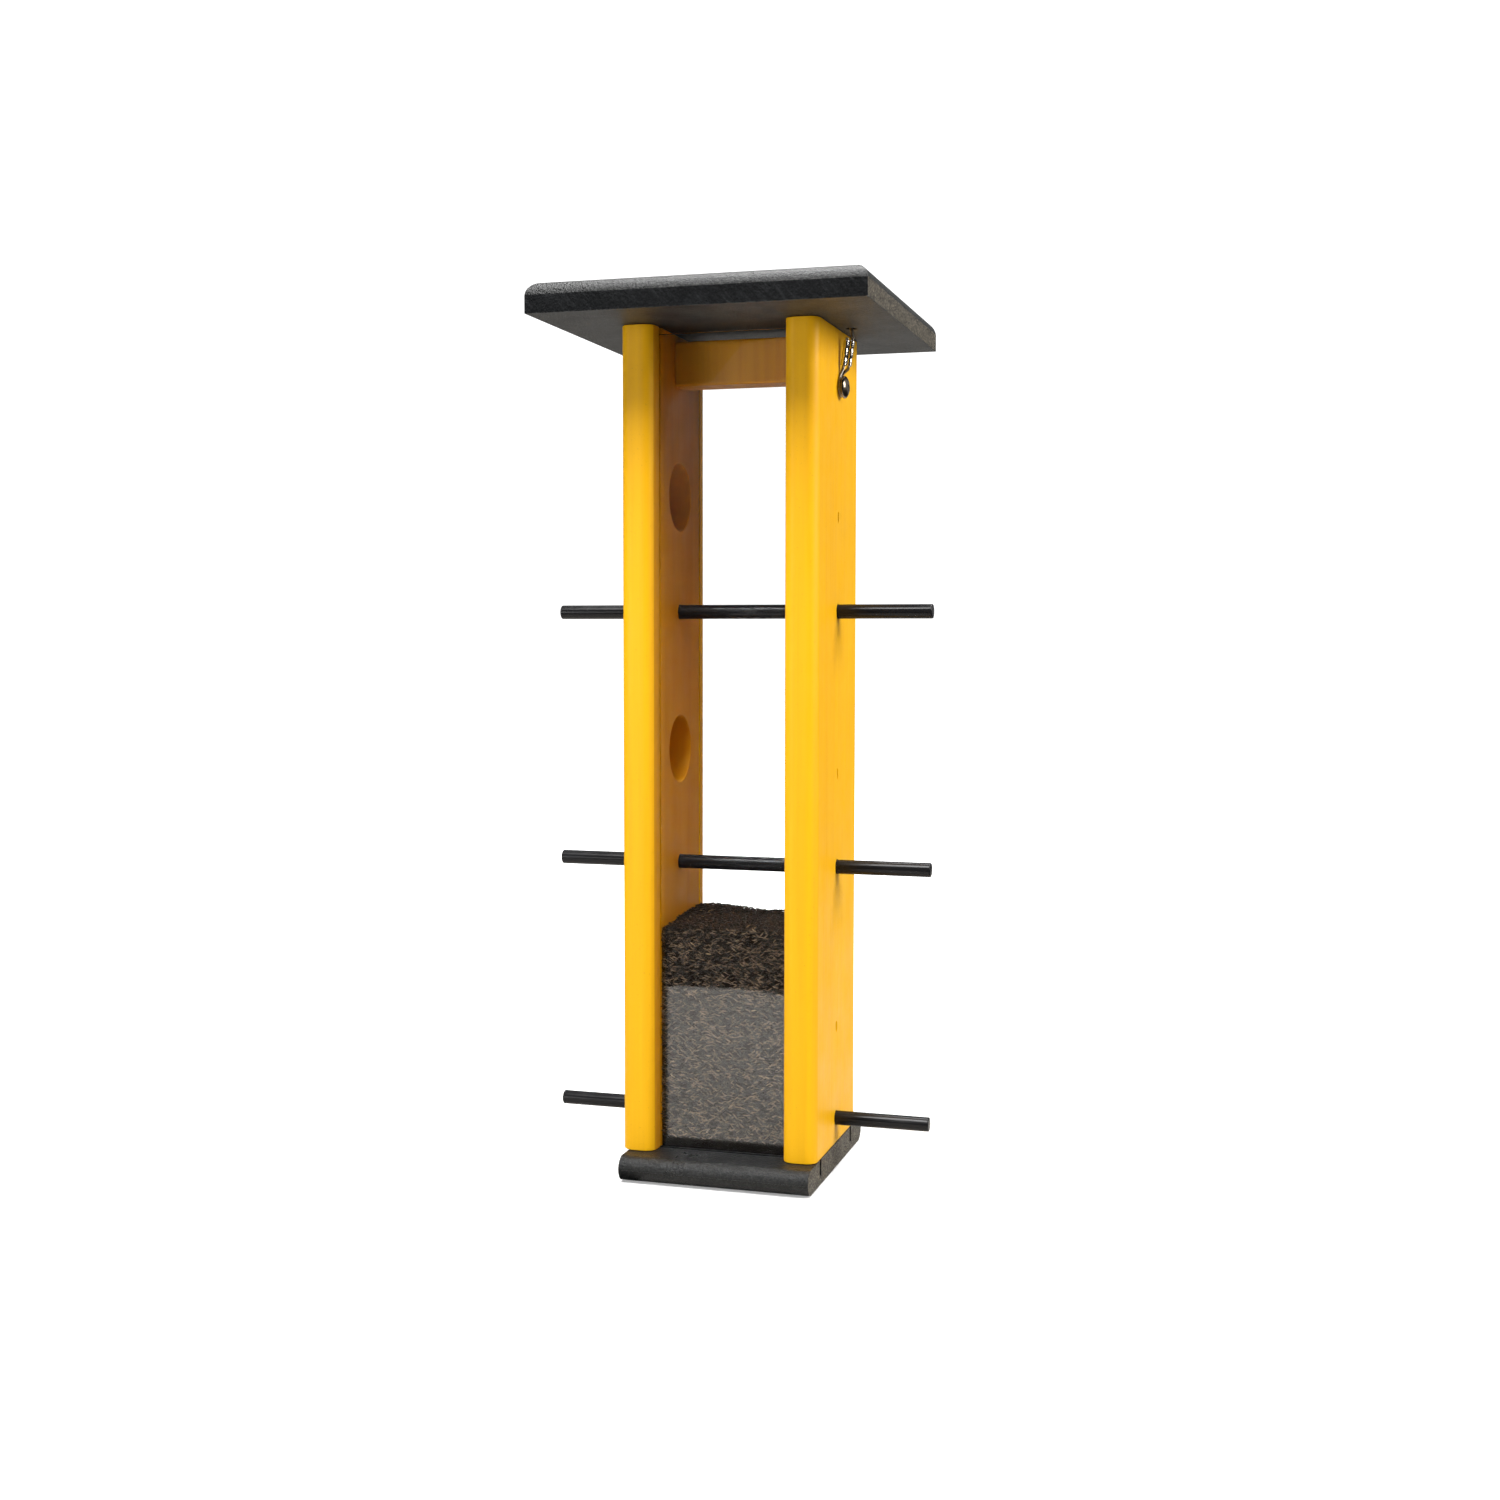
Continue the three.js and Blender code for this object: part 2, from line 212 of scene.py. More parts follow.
def inset(outline: Outline, amount: float) -> Outline:
    """Moves a counter-clockwise outline's edges inwards.

    Args:
        outline: The outline's points.
        amount: How far each edge moves.

    Returns:
        The smaller outline, point for point.
    """
    result = []
    count = len(outline)
    for i, point in enumerate(outline):
        here = Vector(point)
        before = (here - Vector(outline[i - 1])).normalized()
        after = (Vector(outline[(i + 1) % count]) - here).normalized()
        normals = Vector((-before.y, before.x)) + Vector((-after.y, after.x))
        share = max(normals.length_squared / 2, 0.3)
        result.append(tuple(here + normals * (amount / share)))
    return result


def eased_loft(
    name: str,
    outline: Outline,
    low: float,
    high: float,
    ease: float,
    lay: Callable[[float, float, float], Point],
) -> Piece:
    """A prism whose two end edges are rounded.

    Args:
        name: The piece's name.
        outline: The counter-clockwise section.
        low: Where the prism starts along its length.
        high: Where it ends.
        ease: The radius of the rounded end edges.
        lay: Turns (across, up, along) into a point.

    Returns:
        The new object.
    """
    steps = 3
    quarter = [math.radians(90) * i / steps for i in range(steps + 1)]
    stations = [(low + ease * (1 - math.cos(a)), ease * (1 - math.sin(a))) for a in quarter]
    stations += [(high - (z - low), d) for z, d in reversed(stations)]
    rings = [[lay(x, y, z) for x, y in inset(outline, d)] for z, d in stations]
    return loft(name, rings)


def evaluated(piece: Piece) -> None:
    """Applies every modifier of a piece to its mesh."""
    bpy.context.view_layer.update()
    graph = bpy.context.evaluated_depsgraph_get()
    mesh = bpy.data.meshes.new_from_object(piece.evaluated_get(graph), depsgraph=graph)
    piece.modifiers.clear()
    piece.data = mesh


def carve(piece: Piece, cutters: Sequence[Piece]) -> None:
    """Cuts closed shapes out of a piece and deletes them.

    Args:
        piece: The piece to cut.
        cutters: The closed shapes.
    """
    for cutter in cutters:
        cut = piece.modifiers.new("cut", "BOOLEAN")
        cut.operation = "DIFFERENCE"
        cut.solver = "EXACT"
        cut.object = cutter
    evaluated(piece)
    for cutter in cutters:
        bpy.data.objects.remove(cutter)


def soften(piece: Piece, sharp: float = 38) -> None:
    """Shades a piece smooth, with hard edges kept and flat faces left flat.

    Args:
        piece: The piece.
        sharp: The angle in degrees past which an edge stays hard.
    """
    piece.data.shade_smooth()
    piece.data.set_sharp_from_angle(angle=math.radians(sharp))
    weighted = piece.modifiers.new("flat faces stay flat", "WEIGHTED_NORMAL")
    weighted.keep_sharp = True
    weighted.weight = 80
    evaluated(piece)


def paint_faces(
    piece: Piece, materials: Sequence[Material], choose: Callable[[Vector], int] = lambda normal: 0
) -> None:
    """Gives each face one of several materials by the way it faces.

    Args:
        piece: The piece.
        materials: The materials, in order.
        choose: Turns a face's normal into the number of its material; the first one if left out.
    """
    piece.data.materials.clear()
    for material in materials:
        piece.data.materials.append(material)
    for face in piece.data.polygons:
        face.material_index = choose(face.normal)


def dress(piece: Piece, material: Material) -> None:
    """Gives a whole piece one material."""
    paint_faces(piece, [material])


def settle(piece: Piece, nodes: Sequence[str] = (), body: str = HOUSING) -> None:
    """Puts a finished piece on its body and reports it.

    Args:
        piece: The finished piece.
        nodes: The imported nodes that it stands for.
        body: The body that it rides on.
    """
    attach(piece, body)
    if nodes:
        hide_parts(*nodes)
    LOG.info("%s: %d faces on %s", piece.name, len(piece.data.polygons), body)


# ----------------------------------------------------------------------------------- node machinery
class Nodes:
    """A thin, typed hand for laying out one node tree."""

    def __init__(self, tree: bpy.types.NodeTree) -> None:
        """Keeps the tree."""
        self.tree = tree

    def add(self, kind: str, settings: dict | None = None, **inputs: object) -> bpy.types.Node:
        """Adds a node.

        Args:
            kind: The node's type.
            settings: Properties of the node.
            inputs: Socket names, with _ for spaces, and the value or socket that each one takes.

        Returns:
            The node.
        """
        node = self.tree.nodes.new(kind)
        for name, value in (settings or {}).items():
            setattr(node, name, value)
        for name, value in inputs.items():
            self.feed(node, name.replace("_", " "), value)
        return node

    def feed(self, node: bpy.types.Node, name: str | int, value: object) -> None:
        """Sets or links one input.

        Args:
            node: The node.
            name: The input's name or number.
            value: A constant, or the socket to link from.
        """
        socket = node.inputs[name]
        if isinstance(value, Socket):
            self.tree.links.new(value, socket)
        else:
            socket.default_value = value

    def math(self, operation: str, a: object, b: object = 0.5) -> Socket:
        """The result of a Math node on two values or sockets."""
        node = self.tree.nodes.new("ShaderNodeMath")
        node.operation = operation
        self.feed(node, 0, a)
        self.feed(node, 1, b)
        return node.outputs[0]

    def plus(self, a: object, b: object) -> Socket:
        """The sum of two values."""
        return self.math("ADD", a, b)

    def minus(self, a: object, b: object) -> Socket:
        """The first value less the second."""
        return self.math("SUBTRACT", a, b)

    def times(self, a: object, b: object) -> Socket:
        """The product of two values."""
        return self.math("MULTIPLY", a, b)

    def span(
        self, value: object, low: float, high: float, to_low: float = 0.0, to_high: float = 1.0
    ) -> Socket:
        """A value moved from one span to another and held inside it."""
        node = self.tree.nodes.new("ShaderNodeMapRange")
        for name, number in (("From Min", low), ("From Max", high), ("To Min", to_low), ("To Max", to_high)):
            node.inputs[name].default_value = number
        self.feed(node, "Value", value)
        return node.outputs[0]

    def blend(self, factor: object, a: object, b: object) -> Socket:
        """A mix of two colours; plain tuples get an alpha of one."""
        node = self.tree.nodes.new("ShaderNodeMix")
        node.data_type = "RGBA"
        self.feed(node, 0, factor)
        for number, colour in ((6, a), (7, b)):
            self.feed(node, number, (*colour, 1.0) if isinstance(colour, tuple) else colour)
        return node.outputs[2]

    def stretched(self, vector: Socket, scale: Point, turn: Point = (0, 0, 0)) -> Socket:
        """Coordinates turned and scaled."""
        node = self.add("ShaderNodeMapping", Vector=vector)
        node.inputs["Rotation"].default_value = turn
        node.inputs["Scale"].default_value = scale
        return node.outputs[0]

    def cloud(self, vector: Socket, scale: float, detail: float = 4, rough: float = 0.55) -> Socket:
        """Noise from 0 to 1."""
        node = self.add("ShaderNodeTexNoise", Vector=vector, Scale=scale, Detail=detail, Roughness=rough)
        return node.outputs["Fac"]


def shader_group(
    name: str, inputs: dict[str, float | None], outputs: Sequence[str]
) -> tuple[Nodes, bpy.types.Node, bpy.types.Node]:
    """Starts a shader node group.

    Args:
        name: The group's name.
        inputs: Input names, with a number's default, or None for a vector.
        outputs: Names of the value outputs.

    Returns:
        The hand for its tree, its input node and its output node.
    """
    tree = bpy.data.node_groups.new(name, "ShaderNodeTree")
    for label, default in inputs.items():
        kind = "NodeSocketVector" if default is None else "NodeSocketFloat"
        socket = tree.interface.new_socket(label, in_out="INPUT", socket_type=kind)
        if default is not None:
            socket.default_value = default
    for label in outputs:
        tree.interface.new_socket(label, in_out="OUTPUT", socket_type="NodeSocketFloat")
    hand = Nodes(tree)
    return hand, tree.nodes.new("NodeGroupInput"), tree.nodes.new("NodeGroupOutput")


def streak_group() -> bpy.types.NodeTree:
    """Long soft streaks along Z, as planed wood shows through paint."""
    inputs = {"Vector": None, "Across": 320.0, "Along": 7.0}
    hand, given, out = shader_group("Wood streaks", inputs, ["Tone", "Height"])
    parts = hand.add("ShaderNodeSeparateXYZ", Vector=given.outputs["Vector"])
    joined = hand.add("ShaderNodeCombineXYZ")
    for number, share in enumerate(("Across", "Across", "Along")):
        hand.feed(joined, number, hand.times(parts.outputs[number], given.outputs[share]))
    fine = hand.cloud(joined.outputs[0], 1.0, 5, 0.6)
    broad = hand.cloud(joined.outputs[0], 0.14, 2, 0.5)
    tone = hand.plus(hand.times(fine, 0.55), hand.times(broad, 0.45))
    hand.feed(out, "Tone", hand.span(tone, 0.36, 0.66))
    hand.feed(out, "Height", hand.span(fine, 0.3, 0.7))
    return hand.tree


def pebble_group() -> bpy.types.NodeTree:
    """The fine leathery skin of extruded recycled plastic, with pale specks."""
    hand, given, out = shader_group("Pebbled skin", {"Vector": None, "Scale": 1000.0}, ["Height", "Specks"])
    vector, scale = given.outputs["Vector"], given.outputs["Scale"]
    fine = hand.times(hand.cloud(vector, scale, 3, 0.6), 0.6)
    wide = hand.times(scale, 0.45)
    cells = hand.add("ShaderNodeTexVoronoi", {"feature": "SMOOTH_F1"}, Vector=vector, Scale=wide)
    hand.feed(out, "Height", hand.plus(fine, hand.times(cells.outputs["Distance"], 0.4)))
    dots = hand.add("ShaderNodeTexNoise", Vector=vector, Scale=hand.times(scale, 0.8), Detail=1.0)
    hand.feed(out, "Specks", hand.span(dots.outputs["Fac"], 0.42, 0.7))
    return hand.tree


def scratch_group() -> bpy.types.NodeTree:
    """Slanting scratches left by a saw, running down to the right in the XZ plane."""
    inputs = {"Vector": None, "Slant": -0.85, "Pitch": 620.0, "Reach": 70.0}
    hand, given, out = shader_group("Saw scratches", inputs, ["Height", "Pale"])
    turn = hand.add("ShaderNodeVectorRotate", {"rotation_type": "Y_AXIS"}, Vector=given.outputs["Vector"])
    hand.feed(turn, "Angle", given.outputs["Slant"])
    parts = hand.add("ShaderNodeSeparateXYZ", Vector=turn.outputs[0])
    joined = hand.add("ShaderNodeCombineXYZ")
    for number, share in enumerate(("Reach", "Reach", "Pitch")):
        hand.feed(joined, number, hand.times(parts.outputs[number], given.outputs[share]))
    lines = hand.cloud(joined.outputs[0], 1.0, 4, 0.65)
    patches = hand.cloud(given.outputs["Vector"], 110.0, 3, 0.5)
    hand.feed(out, "Pale", hand.times(hand.span(lines, 0.46, 0.8), hand.span(patches, 0.36, 0.66)))
    hand.feed(out, "Height", lines)
    return hand.tree


def handling_group() -> bpy.types.NodeTree:
    """Slow changes of gloss over a surface, from handling, dust and wiping."""
    inputs = {"Vector": None, "Low": 0.4, "High": 0.6}
    hand, given, out = shader_group("Handling", inputs, ["Roughness", "Film"])
    slow = hand.cloud(given.outputs["Vector"], 38.0, 5, 0.62)
    share = hand.span(slow, 0.32, 0.7)
    gap = hand.minus(given.outputs["High"], given.outputs["Low"])
    hand.feed(out, "Roughness", hand.plus(given.outputs["Low"], hand.times(share, gap)))
    hand.feed(out, "Film", share)
    return hand.tree


@dataclass
class EffectLibrary:
    """The shared effects, each built once and placed in every material that shows it."""

    streaks: bpy.types.NodeTree = field(default_factory=streak_group)
    pebbles: bpy.types.NodeTree = field(default_factory=pebble_group)
    scratches: bpy.types.NodeTree = field(default_factory=scratch_group)
    handling: bpy.types.NodeTree = field(default_factory=handling_group)


class Surface:
    """One material under construction: its Principled shader and its Object coordinates."""

    def __init__(self, name: str, roughness: float, metallic: float = 0.0, specular: float = 0.5) -> None:
        """Starts the material.

        Args:
            name: The material's name.
            roughness: The plain roughness, where nothing else drives it.
            metallic: The metalness.
            specular: How strongly it mirrors face on; 0.5 is plain plastic.
        """
        self.material = bpy.data.materials.new(name)
        self.material.use_nodes = True
        self.hand = Nodes(self.material.node_tree)
        self.shader = self.material.node_tree.nodes["Principled BSDF"]
        self.shader.inputs["Roughness"].default_value = roughness
        self.shader.inputs["Metallic"].default_value = metallic
        self.shader.inputs["Specular IOR Level"].default_value = specular
        self.place = self.hand.add("ShaderNodeTexCoord").outputs["Object"]

    def effect(self, tree: bpy.types.NodeTree, **values: float) -> bpy.types.Node:
        """Places a shared effect on the surface.

        Args:
            tree: The effect's group.
            values: Its inputs.

        Returns:
            The group's node.
        """
        node = self.hand.add("ShaderNodeGroup", {"node_tree": tree}, Vector=self.place)
        for name, value in values.items():
            self.hand.feed(node, name, value)
        return node

    def set(self, name: str, value: object) -> None:
        """Sets or links an input of the shader."""
        self.hand.feed(self.shader, name, value)

    def bump(
        self, height: Socket, depth: float, strength: float, under: Socket | None = None
    ) -> Socket:
        """Adds relief.

        Args:
            height: The height, from 0 to 1.
            depth: What a height of 1 means, in metres.
            strength: How much of it shows.
            under: The relief below this one.

        Returns:
            The normal, which the shader takes.
        """
        node = self.hand.add("ShaderNodeBump", Height=height, Distance=depth, Strength=strength)
        if under is not None:
            self.hand.feed(node, "Normal", under)
        self.set("Normal", node.outputs[0])
        return node.outputs[0]


# --------------------------------------------------------------------------------------- finishes
@dataclass(frozen=True)
class BoardPaint:
    """Satin paint on planed boards, with the grain just showing."""

    name: str
    bright: Colour
    deep: Colour
    thin: Colour
    grain: float

    def build(self, effects: EffectLibrary) -> Material:
        """Builds the material."""
        surface = Surface(self.name, 0.45, specular=0.22)
        hand = surface.hand
        streaks = surface.effect(effects.streaks)
        handling = surface.effect(effects.handling, Low=0.4, High=0.56)
        shade = hand.blend(hand.times(streaks.outputs["Tone"], self.grain), self.bright, self.deep)
        specks = hand.span(hand.cloud(surface.place, 900.0, 2), 0.66, 0.8, 0.0, 0.5)
        surface.set("Base Color", hand.blend(specks, shade, self.thin))
        surface.set("Roughness", handling.outputs["Roughness"])
        orange_peel = surface.bump(hand.cloud(surface.place, 420.0, 3), 0.00006, 0.5)
        surface.bump(streaks.outputs["Height"], 0.00010, 0.55, orange_peel)
        return surface.material


@dataclass(frozen=True)
class PlasticLumber:
    """Charcoal plank of recycled plastic: its extruded skin, or a face that a saw has cut."""

    name: str
    dark: Colour
    pale: Colour
    speckle: float
    gloss: tuple[float, float]
    specular: float
    scratch: float = 0.0
    pebbles: float = 1300.0

    def build(self, effects: EffectLibrary) -> Material:
        """Builds the material."""
        surface = Surface(self.name, 0.5, specular=self.specular)
        hand = surface.hand
        pebbles = surface.effect(effects.pebbles, Scale=self.pebbles)
        handling = surface.effect(effects.handling, Low=self.gloss[0], High=self.gloss[1])
        specks = hand.times(pebbles.outputs["Specks"], self.speckle)
        mottled = hand.blend(specks, self.dark, self.pale)
        relief = surface.bump(pebbles.outputs["Height"], 0.0008, 0.9)
        if self.scratch:
            scratches = surface.effect(effects.scratches)
            pale = hand.times(scratches.outputs["Pale"], self.scratch)
            mottled = hand.blend(pale, mottled, self.pale)
            surface.bump(scratches.outputs["Height"], 0.0004, 0.6, relief)
        surface.set("Base Color", mottled)
        surface.set("Roughness", handling.outputs["Roughness"])
        return surface.material


@dataclass(frozen=True)
class RodPlastic:
    """Satin black rod with faint draw lines along it."""

    name: str
    dark: Colour
    worn: Colour

    def build(self, effects: EffectLibrary) -> Material:
        """Builds the material."""
        surface = Surface(self.name, 0.38, specular=0.2)
        hand = surface.hand
        handling = surface.effect(effects.handling, Low=0.17, High=0.3)
        lines = hand.cloud(hand.stretched(surface.place, (14.0, 900.0, 900.0)), 1.0, 3)
        film = hand.times(handling.outputs["Film"], 0.5)
        scuffs = hand.times(hand.span(lines, 0.55, 0.75), film)
        surface.set("Base Color", hand.blend(scuffs, self.dark, self.worn))
        surface.set("Roughness", handling.outputs["Roughness"])
        surface.bump(lines, 0.00008, 0.5)
        return surface.material


@dataclass(frozen=True)
class ClearSheet:
    """Clear acrylic sheet, which lets lamps through to what is behind it."""

    name: str
    tint: Colour

    def build(self, effects: EffectLibrary) -> Material:
        """Builds the material."""
        surface = Surface(self.name, 0.02)
        hand = surface.hand
        surface.set("Base Color", (*self.tint, 1.0))
        surface.set("Transmission Weight", 1.0)
        surface.set("IOR", 1.49)
        hazy = surface.effect(effects.handling, Low=0.0, High=0.035)
        surface.set("Roughness", hazy.outputs["Roughness"])
        clear = hand.add("ShaderNodeBsdfTransparent")
        clear.inputs["Color"].default_value = (*(0.5 * (1 + c) for c in self.tint), 1.0)
        path = hand.add("ShaderNodeLightPath")
        mix = hand.add("ShaderNodeMixShader")
        hand.feed(mix, 0, path.outputs["Is Shadow Ray"])
        hand.feed(mix, 1, surface.shader.outputs[0])
        hand.feed(mix, 2, clear.outputs[0])
        hand.feed(surface.material.node_tree.nodes["Material Output"], "Surface", mix.outputs[0])
        return surface.material


@dataclass(frozen=True)
class Metal:
    """Bare or plated metal with fine marks and a little dulling."""

    name: str
    bright: Colour
    dull: Colour
    gloss: tuple[float, float]
    marks: float

    def build(self, effects: EffectLibrary) -> Material:
        """Builds the material."""
        surface = Surface(self.name, 0.3, 1.0)
        hand = surface.hand
        handling = surface.effect(effects.handling, Low=self.gloss[0], High=self.gloss[1])
        tarnish = hand.span(hand.cloud(surface.place, 700.0, 4), 0.45, 0.75, 0.0, 0.7)
        surface.set("Base Color", hand.blend(tarnish, self.bright, self.dull))
        surface.set("Roughness", handling.outputs["Roughness"])
        surface.bump(hand.cloud(surface.place, 1800.0, 3), 0.00006, self.marks)
        return surface.material


@dataclass(frozen=True)
class SeedCoat:
    """Nyjer hulls: near-black to brown, one tone for each grain, with a dull shine."""

    name: str
    dark: Colour
    brown: Colour
    specular: float
    straw: Colour = (0.26, 0.18, 0.10)

    def build(self, effects: EffectLibrary) -> Material:
        """Builds the material."""
        surface = Surface(self.name, 0.42, specular=self.specular)
        hand = surface.hand
        tone = hand.add("ShaderNodeAttribute", {"attribute_name": "grain_tone"}).outputs["Fac"]
        body = hand.blend(hand.span(tone, 0.5, 1.0), self.dark, self.brown)
        pale = hand.blend(hand.span(tone, 0.994, 0.998), body, self.straw)
        ribs = hand.cloud(surface.place, 2600.0, 2)
        surface.set("Base Color", hand.blend(hand.span(ribs, 0.5, 0.75, 0.0, 0.35), pale, self.dark))
        surface.set("Roughness", hand.span(ribs, 0.3, 0.7, 0.2, 0.34))
        surface.bump(ribs, 0.00008, 0.5)
        return surface.material


@dataclass
class Finishes:
    """Every finish of the feeder, built from one library of effects."""

    effects: EffectLibrary = field(default_factory=EffectLibrary)

    def __post_init__(self) -> None:
        """Builds the materials."""
        effects = self.effects
        self.yellow = BoardPaint(
            "yellow board paint",
            bright=(0.90, 0.475, 0.004),
            deep=(0.76, 0.35, 0.0025),
            thin=(0.42, 0.18, 0.008),
            grain=0.6,
        ).build(effects)
        # A darker copy of the yellow paint for the faces towards the seed and for the rail: painted shade
        # where the boards and roof keep light off.
        self.inside = BoardPaint(
            "thin inside coat",
            bright=(0.66, 0.285, 0.003),
            deep=(0.54, 0.21, 0.002),
            thin=(0.36, 0.13, 0.003),
            grain=0.8,
        ).build(effects)
        self.skin = PlasticLumber(
            "lumber skin",
            dark=(0.004, 0.0045, 0.0045),
            pale=(0.045, 0.044, 0.042),
            speckle=0.4,
            gloss=(0.26, 0.38),
            specular=0.3,
        ).build(effects)
        # A paler, rougher copy of the skin for the roof's underside: painted light standing in for light
        # bounced up from the table.
        self.under = PlasticLumber(
            "lumber underside",
            dark=(0.007, 0.008, 0.008),
            pale=(0.07, 0.068, 0.064),
            speckle=0.45,
            gloss=(0.36, 0.48),
            specular=0.26,
        ).build(effects)
        self.sawn = PlasticLumber(
            "lumber sawn face",
            dark=(0.003, 0.0034, 0.0038),
            pale=(0.034, 0.036, 0.038),
            speckle=0.12,
            gloss=(0.5, 0.7),
            specular=0.08,
            scratch=0.6,
        ).build(effects)
        self.end = PlasticLumber(
            "lumber cut end",
            dark=(0.021, 0.019, 0.015),
            pale=(0.225, 0.197, 0.152),
            speckle=0.8,
            gloss=(0.45, 0.6),
            specular=0.25,
        ).build(effects)
        rod = RodPlastic("black rod", dark=(0.008, 0.008, 0.009), worn=(0.05, 0.05, 0.052))
        self.rod = rod.build(effects)
        self.clear = ClearSheet("clear sheet", tint=(0.985, 0.992, 0.99)).build(effects)
        metals = (
            Metal("plated screw", (0.33, 0.28, 0.22), (0.10, 0.075, 0.055), (0.14, 0.28), 0.3),
            Metal("crimped sleeve", (0.74, 0.71, 0.67), (0.36, 0.33, 0.30), (0.16, 0.3), 0.4),
            Metal("wire rope", (0.42, 0.39, 0.35), (0.10, 0.09, 0.08), (0.22, 0.4), 0.4),
        )
        self.plated, self.sleeve, self.rope = (metal.build(effects) for metal in metals)
        # Near-black brown for painted shade: the heap behind the grains and the pocket plugs use it, and the
        # darker hulls start from it.
        packed = (0.006, 0.0035, 0.002)
        coats = (
            SeedCoat("nyjer hulls", (0.008, 0.005, 0.003), (0.15, 0.102, 0.064), 0.3),
            # A darker copy of the hull colours for the grains on top: painted shade where the roof keeps
            # light off.
            SeedCoat("loose nyjer hulls", packed, (0.055, 0.032, 0.018), 0.16),
            SeedCoat("packed seed", packed, packed, 0.03),
        )
        self.seed, self.loose, self.shaded = (coat.build(effects) for coat in coats)


# ------------------------------------------------------------------------------- geometry node trees
class GeometryTree(Nodes):
    """A geometry node tree with named inputs, from a piece's own mesh to the finished one."""

    def __init__(self, name: str, inputs: dict[str, str]) -> None:
        """Starts the tree.

        Args:
            name: The tree's name.
            inputs: Input names and their socket types.
        """
        super().__init__(bpy.data.node_groups.new(name, "GeometryNodeTree"))
        face = self.tree.interface
        face.new_socket("Geometry", in_out="INPUT", socket_type="NodeSocketGeometry")
        self.identifiers = {
            label: face.new_socket(label, in_out="INPUT", socket_type=kind).identifier
            for label, kind in inputs.items()
        }
        face.new_socket("Geometry", in_out="OUTPUT", socket_type="NodeSocketGeometry")
        self.given = self.tree.nodes.new("NodeGroupInput").outputs

    def close(self, result: Socket) -> None:
        """Ends the tree in Realize Instances and Set Material."""
        real = self.add("GeometryNodeRealizeInstances", Geometry=result)
        material = self.given["Material"]
        painted = self.add("GeometryNodeSetMaterial", Geometry=real.outputs[0], Material=material)
        out = self.tree.nodes.new("NodeGroupOutput")
        self.feed(out, "Geometry", painted.outputs[0])

    def run(self, piece: Piece, **values: object) -> Piece:
        """Runs the tree on a piece and keeps the result as its plain mesh.

        Args:
            piece: The piece whose mesh the tree starts from.
            values: The tree's inputs, with _ for spaces.

        Returns:
            The same piece.
        """
        modifier = piece.modifiers.new(self.tree.name, "NODES")
        modifier.node_group = self.tree
        for name, value in values.items():
            modifier[self.identifiers[name.replace("_", " ")]] = value
        evaluated(piece)
        dress(piece, values["Material"])
        return piece


def scatter_tree() -> GeometryTree:
    """Grains strewn over a surface, laid level or any way round."""
    tree = GeometryTree(
        "Scatter grains",
        {
            "Grain": "NodeSocketObject",
            "Density": "NodeSocketFloat",
            "Swing": "NodeSocketFloat",
            "Tilt": "NodeSocketFloat",
            "Seed": "NodeSocketInt",
            "Material": "NodeSocketMaterial",
        },
    )
    given = tree.given
    strewn = tree.add(
        "GeometryNodeDistributePointsOnFaces",
        Mesh=given["Geometry"],
        Density=given["Density"],
        Seed=given["Seed"],
    )
    upright = tree.add(
        "FunctionNodeAlignRotationToVector",
        {"axis": "Z", "pivot_axis": "AUTO"},
        Vector=strewn.outputs["Normal"],
    )
    level = tree.add(
        "FunctionNodeAlignRotationToVector",
        {"axis": "X", "pivot_axis": "Z"},
        Rotation=upright.outputs[0],
        Vector=(1.0, 0.0, 0.0),
    )

    def either_way(limit: Socket, stream: int) -> Socket:
        """A random angle of up to the limit, either way."""
        drawn = tree.add("FunctionNodeRandomValue", {"data_type": "FLOAT"})
        tree.feed(drawn, 2, tree.times(limit, -1.0))
        tree.feed(drawn, 3, limit)
        tree.feed(drawn, "ID", tree.add("GeometryNodeInputIndex").outputs[0])
        tree.feed(drawn, "Seed", stream)
        return drawn.outputs[1]

    angles = tree.add("ShaderNodeCombineXYZ")
    tree.feed(angles, 0, either_way(given["Tilt"], 11))
    tree.feed(angles, 1, either_way(given["Tilt"], 12))
    tree.feed(angles, 2, either_way(given["Swing"], 13))
    turn = tree.add("FunctionNodeEulerToRotation", Euler=angles.outputs[0])
    facing = tree.add(
        "FunctionNodeRotateRotation",
        {"rotation_space": "LOCAL"},
        Rotation=level.outputs[0],
        Rotate_By=turn.outputs[0],
    )
    size = tree.add("FunctionNodeRandomValue", {"data_type": "FLOAT"}, Seed=14)
    tree.feed(size, 2, 0.8)
    tree.feed(size, 3, 1.15)
    grain = tree.add("GeometryNodeObjectInfo", {"transform_space": "ORIGINAL"}, Object=given["Grain"])
    laid = tree.add(
        "GeometryNodeInstanceOnPoints",
        Points=strewn.outputs["Points"],
        Instance=grain.outputs["Geometry"],
        Rotation=facing.outputs[0],
        Scale=size.outputs[1],
    )
    tone = tree.add("FunctionNodeRandomValue", {"data_type": "FLOAT"}, Seed=15)
    on_grains = {"data_type": "FLOAT", "domain": "INSTANCE"}
    kept = tree.add("GeometryNodeStoreNamedAttribute", on_grains, Geometry=laid.outputs[0])
    tree.feed(kept, "Name", "grain_tone")
    tree.feed(kept, "Value", tone.outputs[1])
    tree.close(kept.outputs[0])
    return tree


def repeat_tree() -> GeometryTree:
    """One fastener copied to each point of a mesh."""
    inputs = {"Fastener": "NodeSocketObject", "Material": "NodeSocketMaterial"}
    tree = GeometryTree("Repeat at points", inputs)
    original = {"transform_space": "ORIGINAL"}
    source = tree.add("GeometryNodeObjectInfo", original, Object=tree.given["Fastener"])
    spin = tree.add("FunctionNodeRandomValue", {"data_type": "FLOAT_VECTOR"}, Seed=3)
    tree.feed(spin, 0, (0.0, 0.0, 0.0))
    tree.feed(spin, 1, (0.0, 0.0, TAU))
    copies = tree.add(
        "GeometryNodeInstanceOnPoints",
        Points=tree.given["Geometry"],
        Instance=source.outputs["Geometry"],
        Rotation=spin.outputs[0],
    )
    tree.close(copies.outputs[0])
    return tree


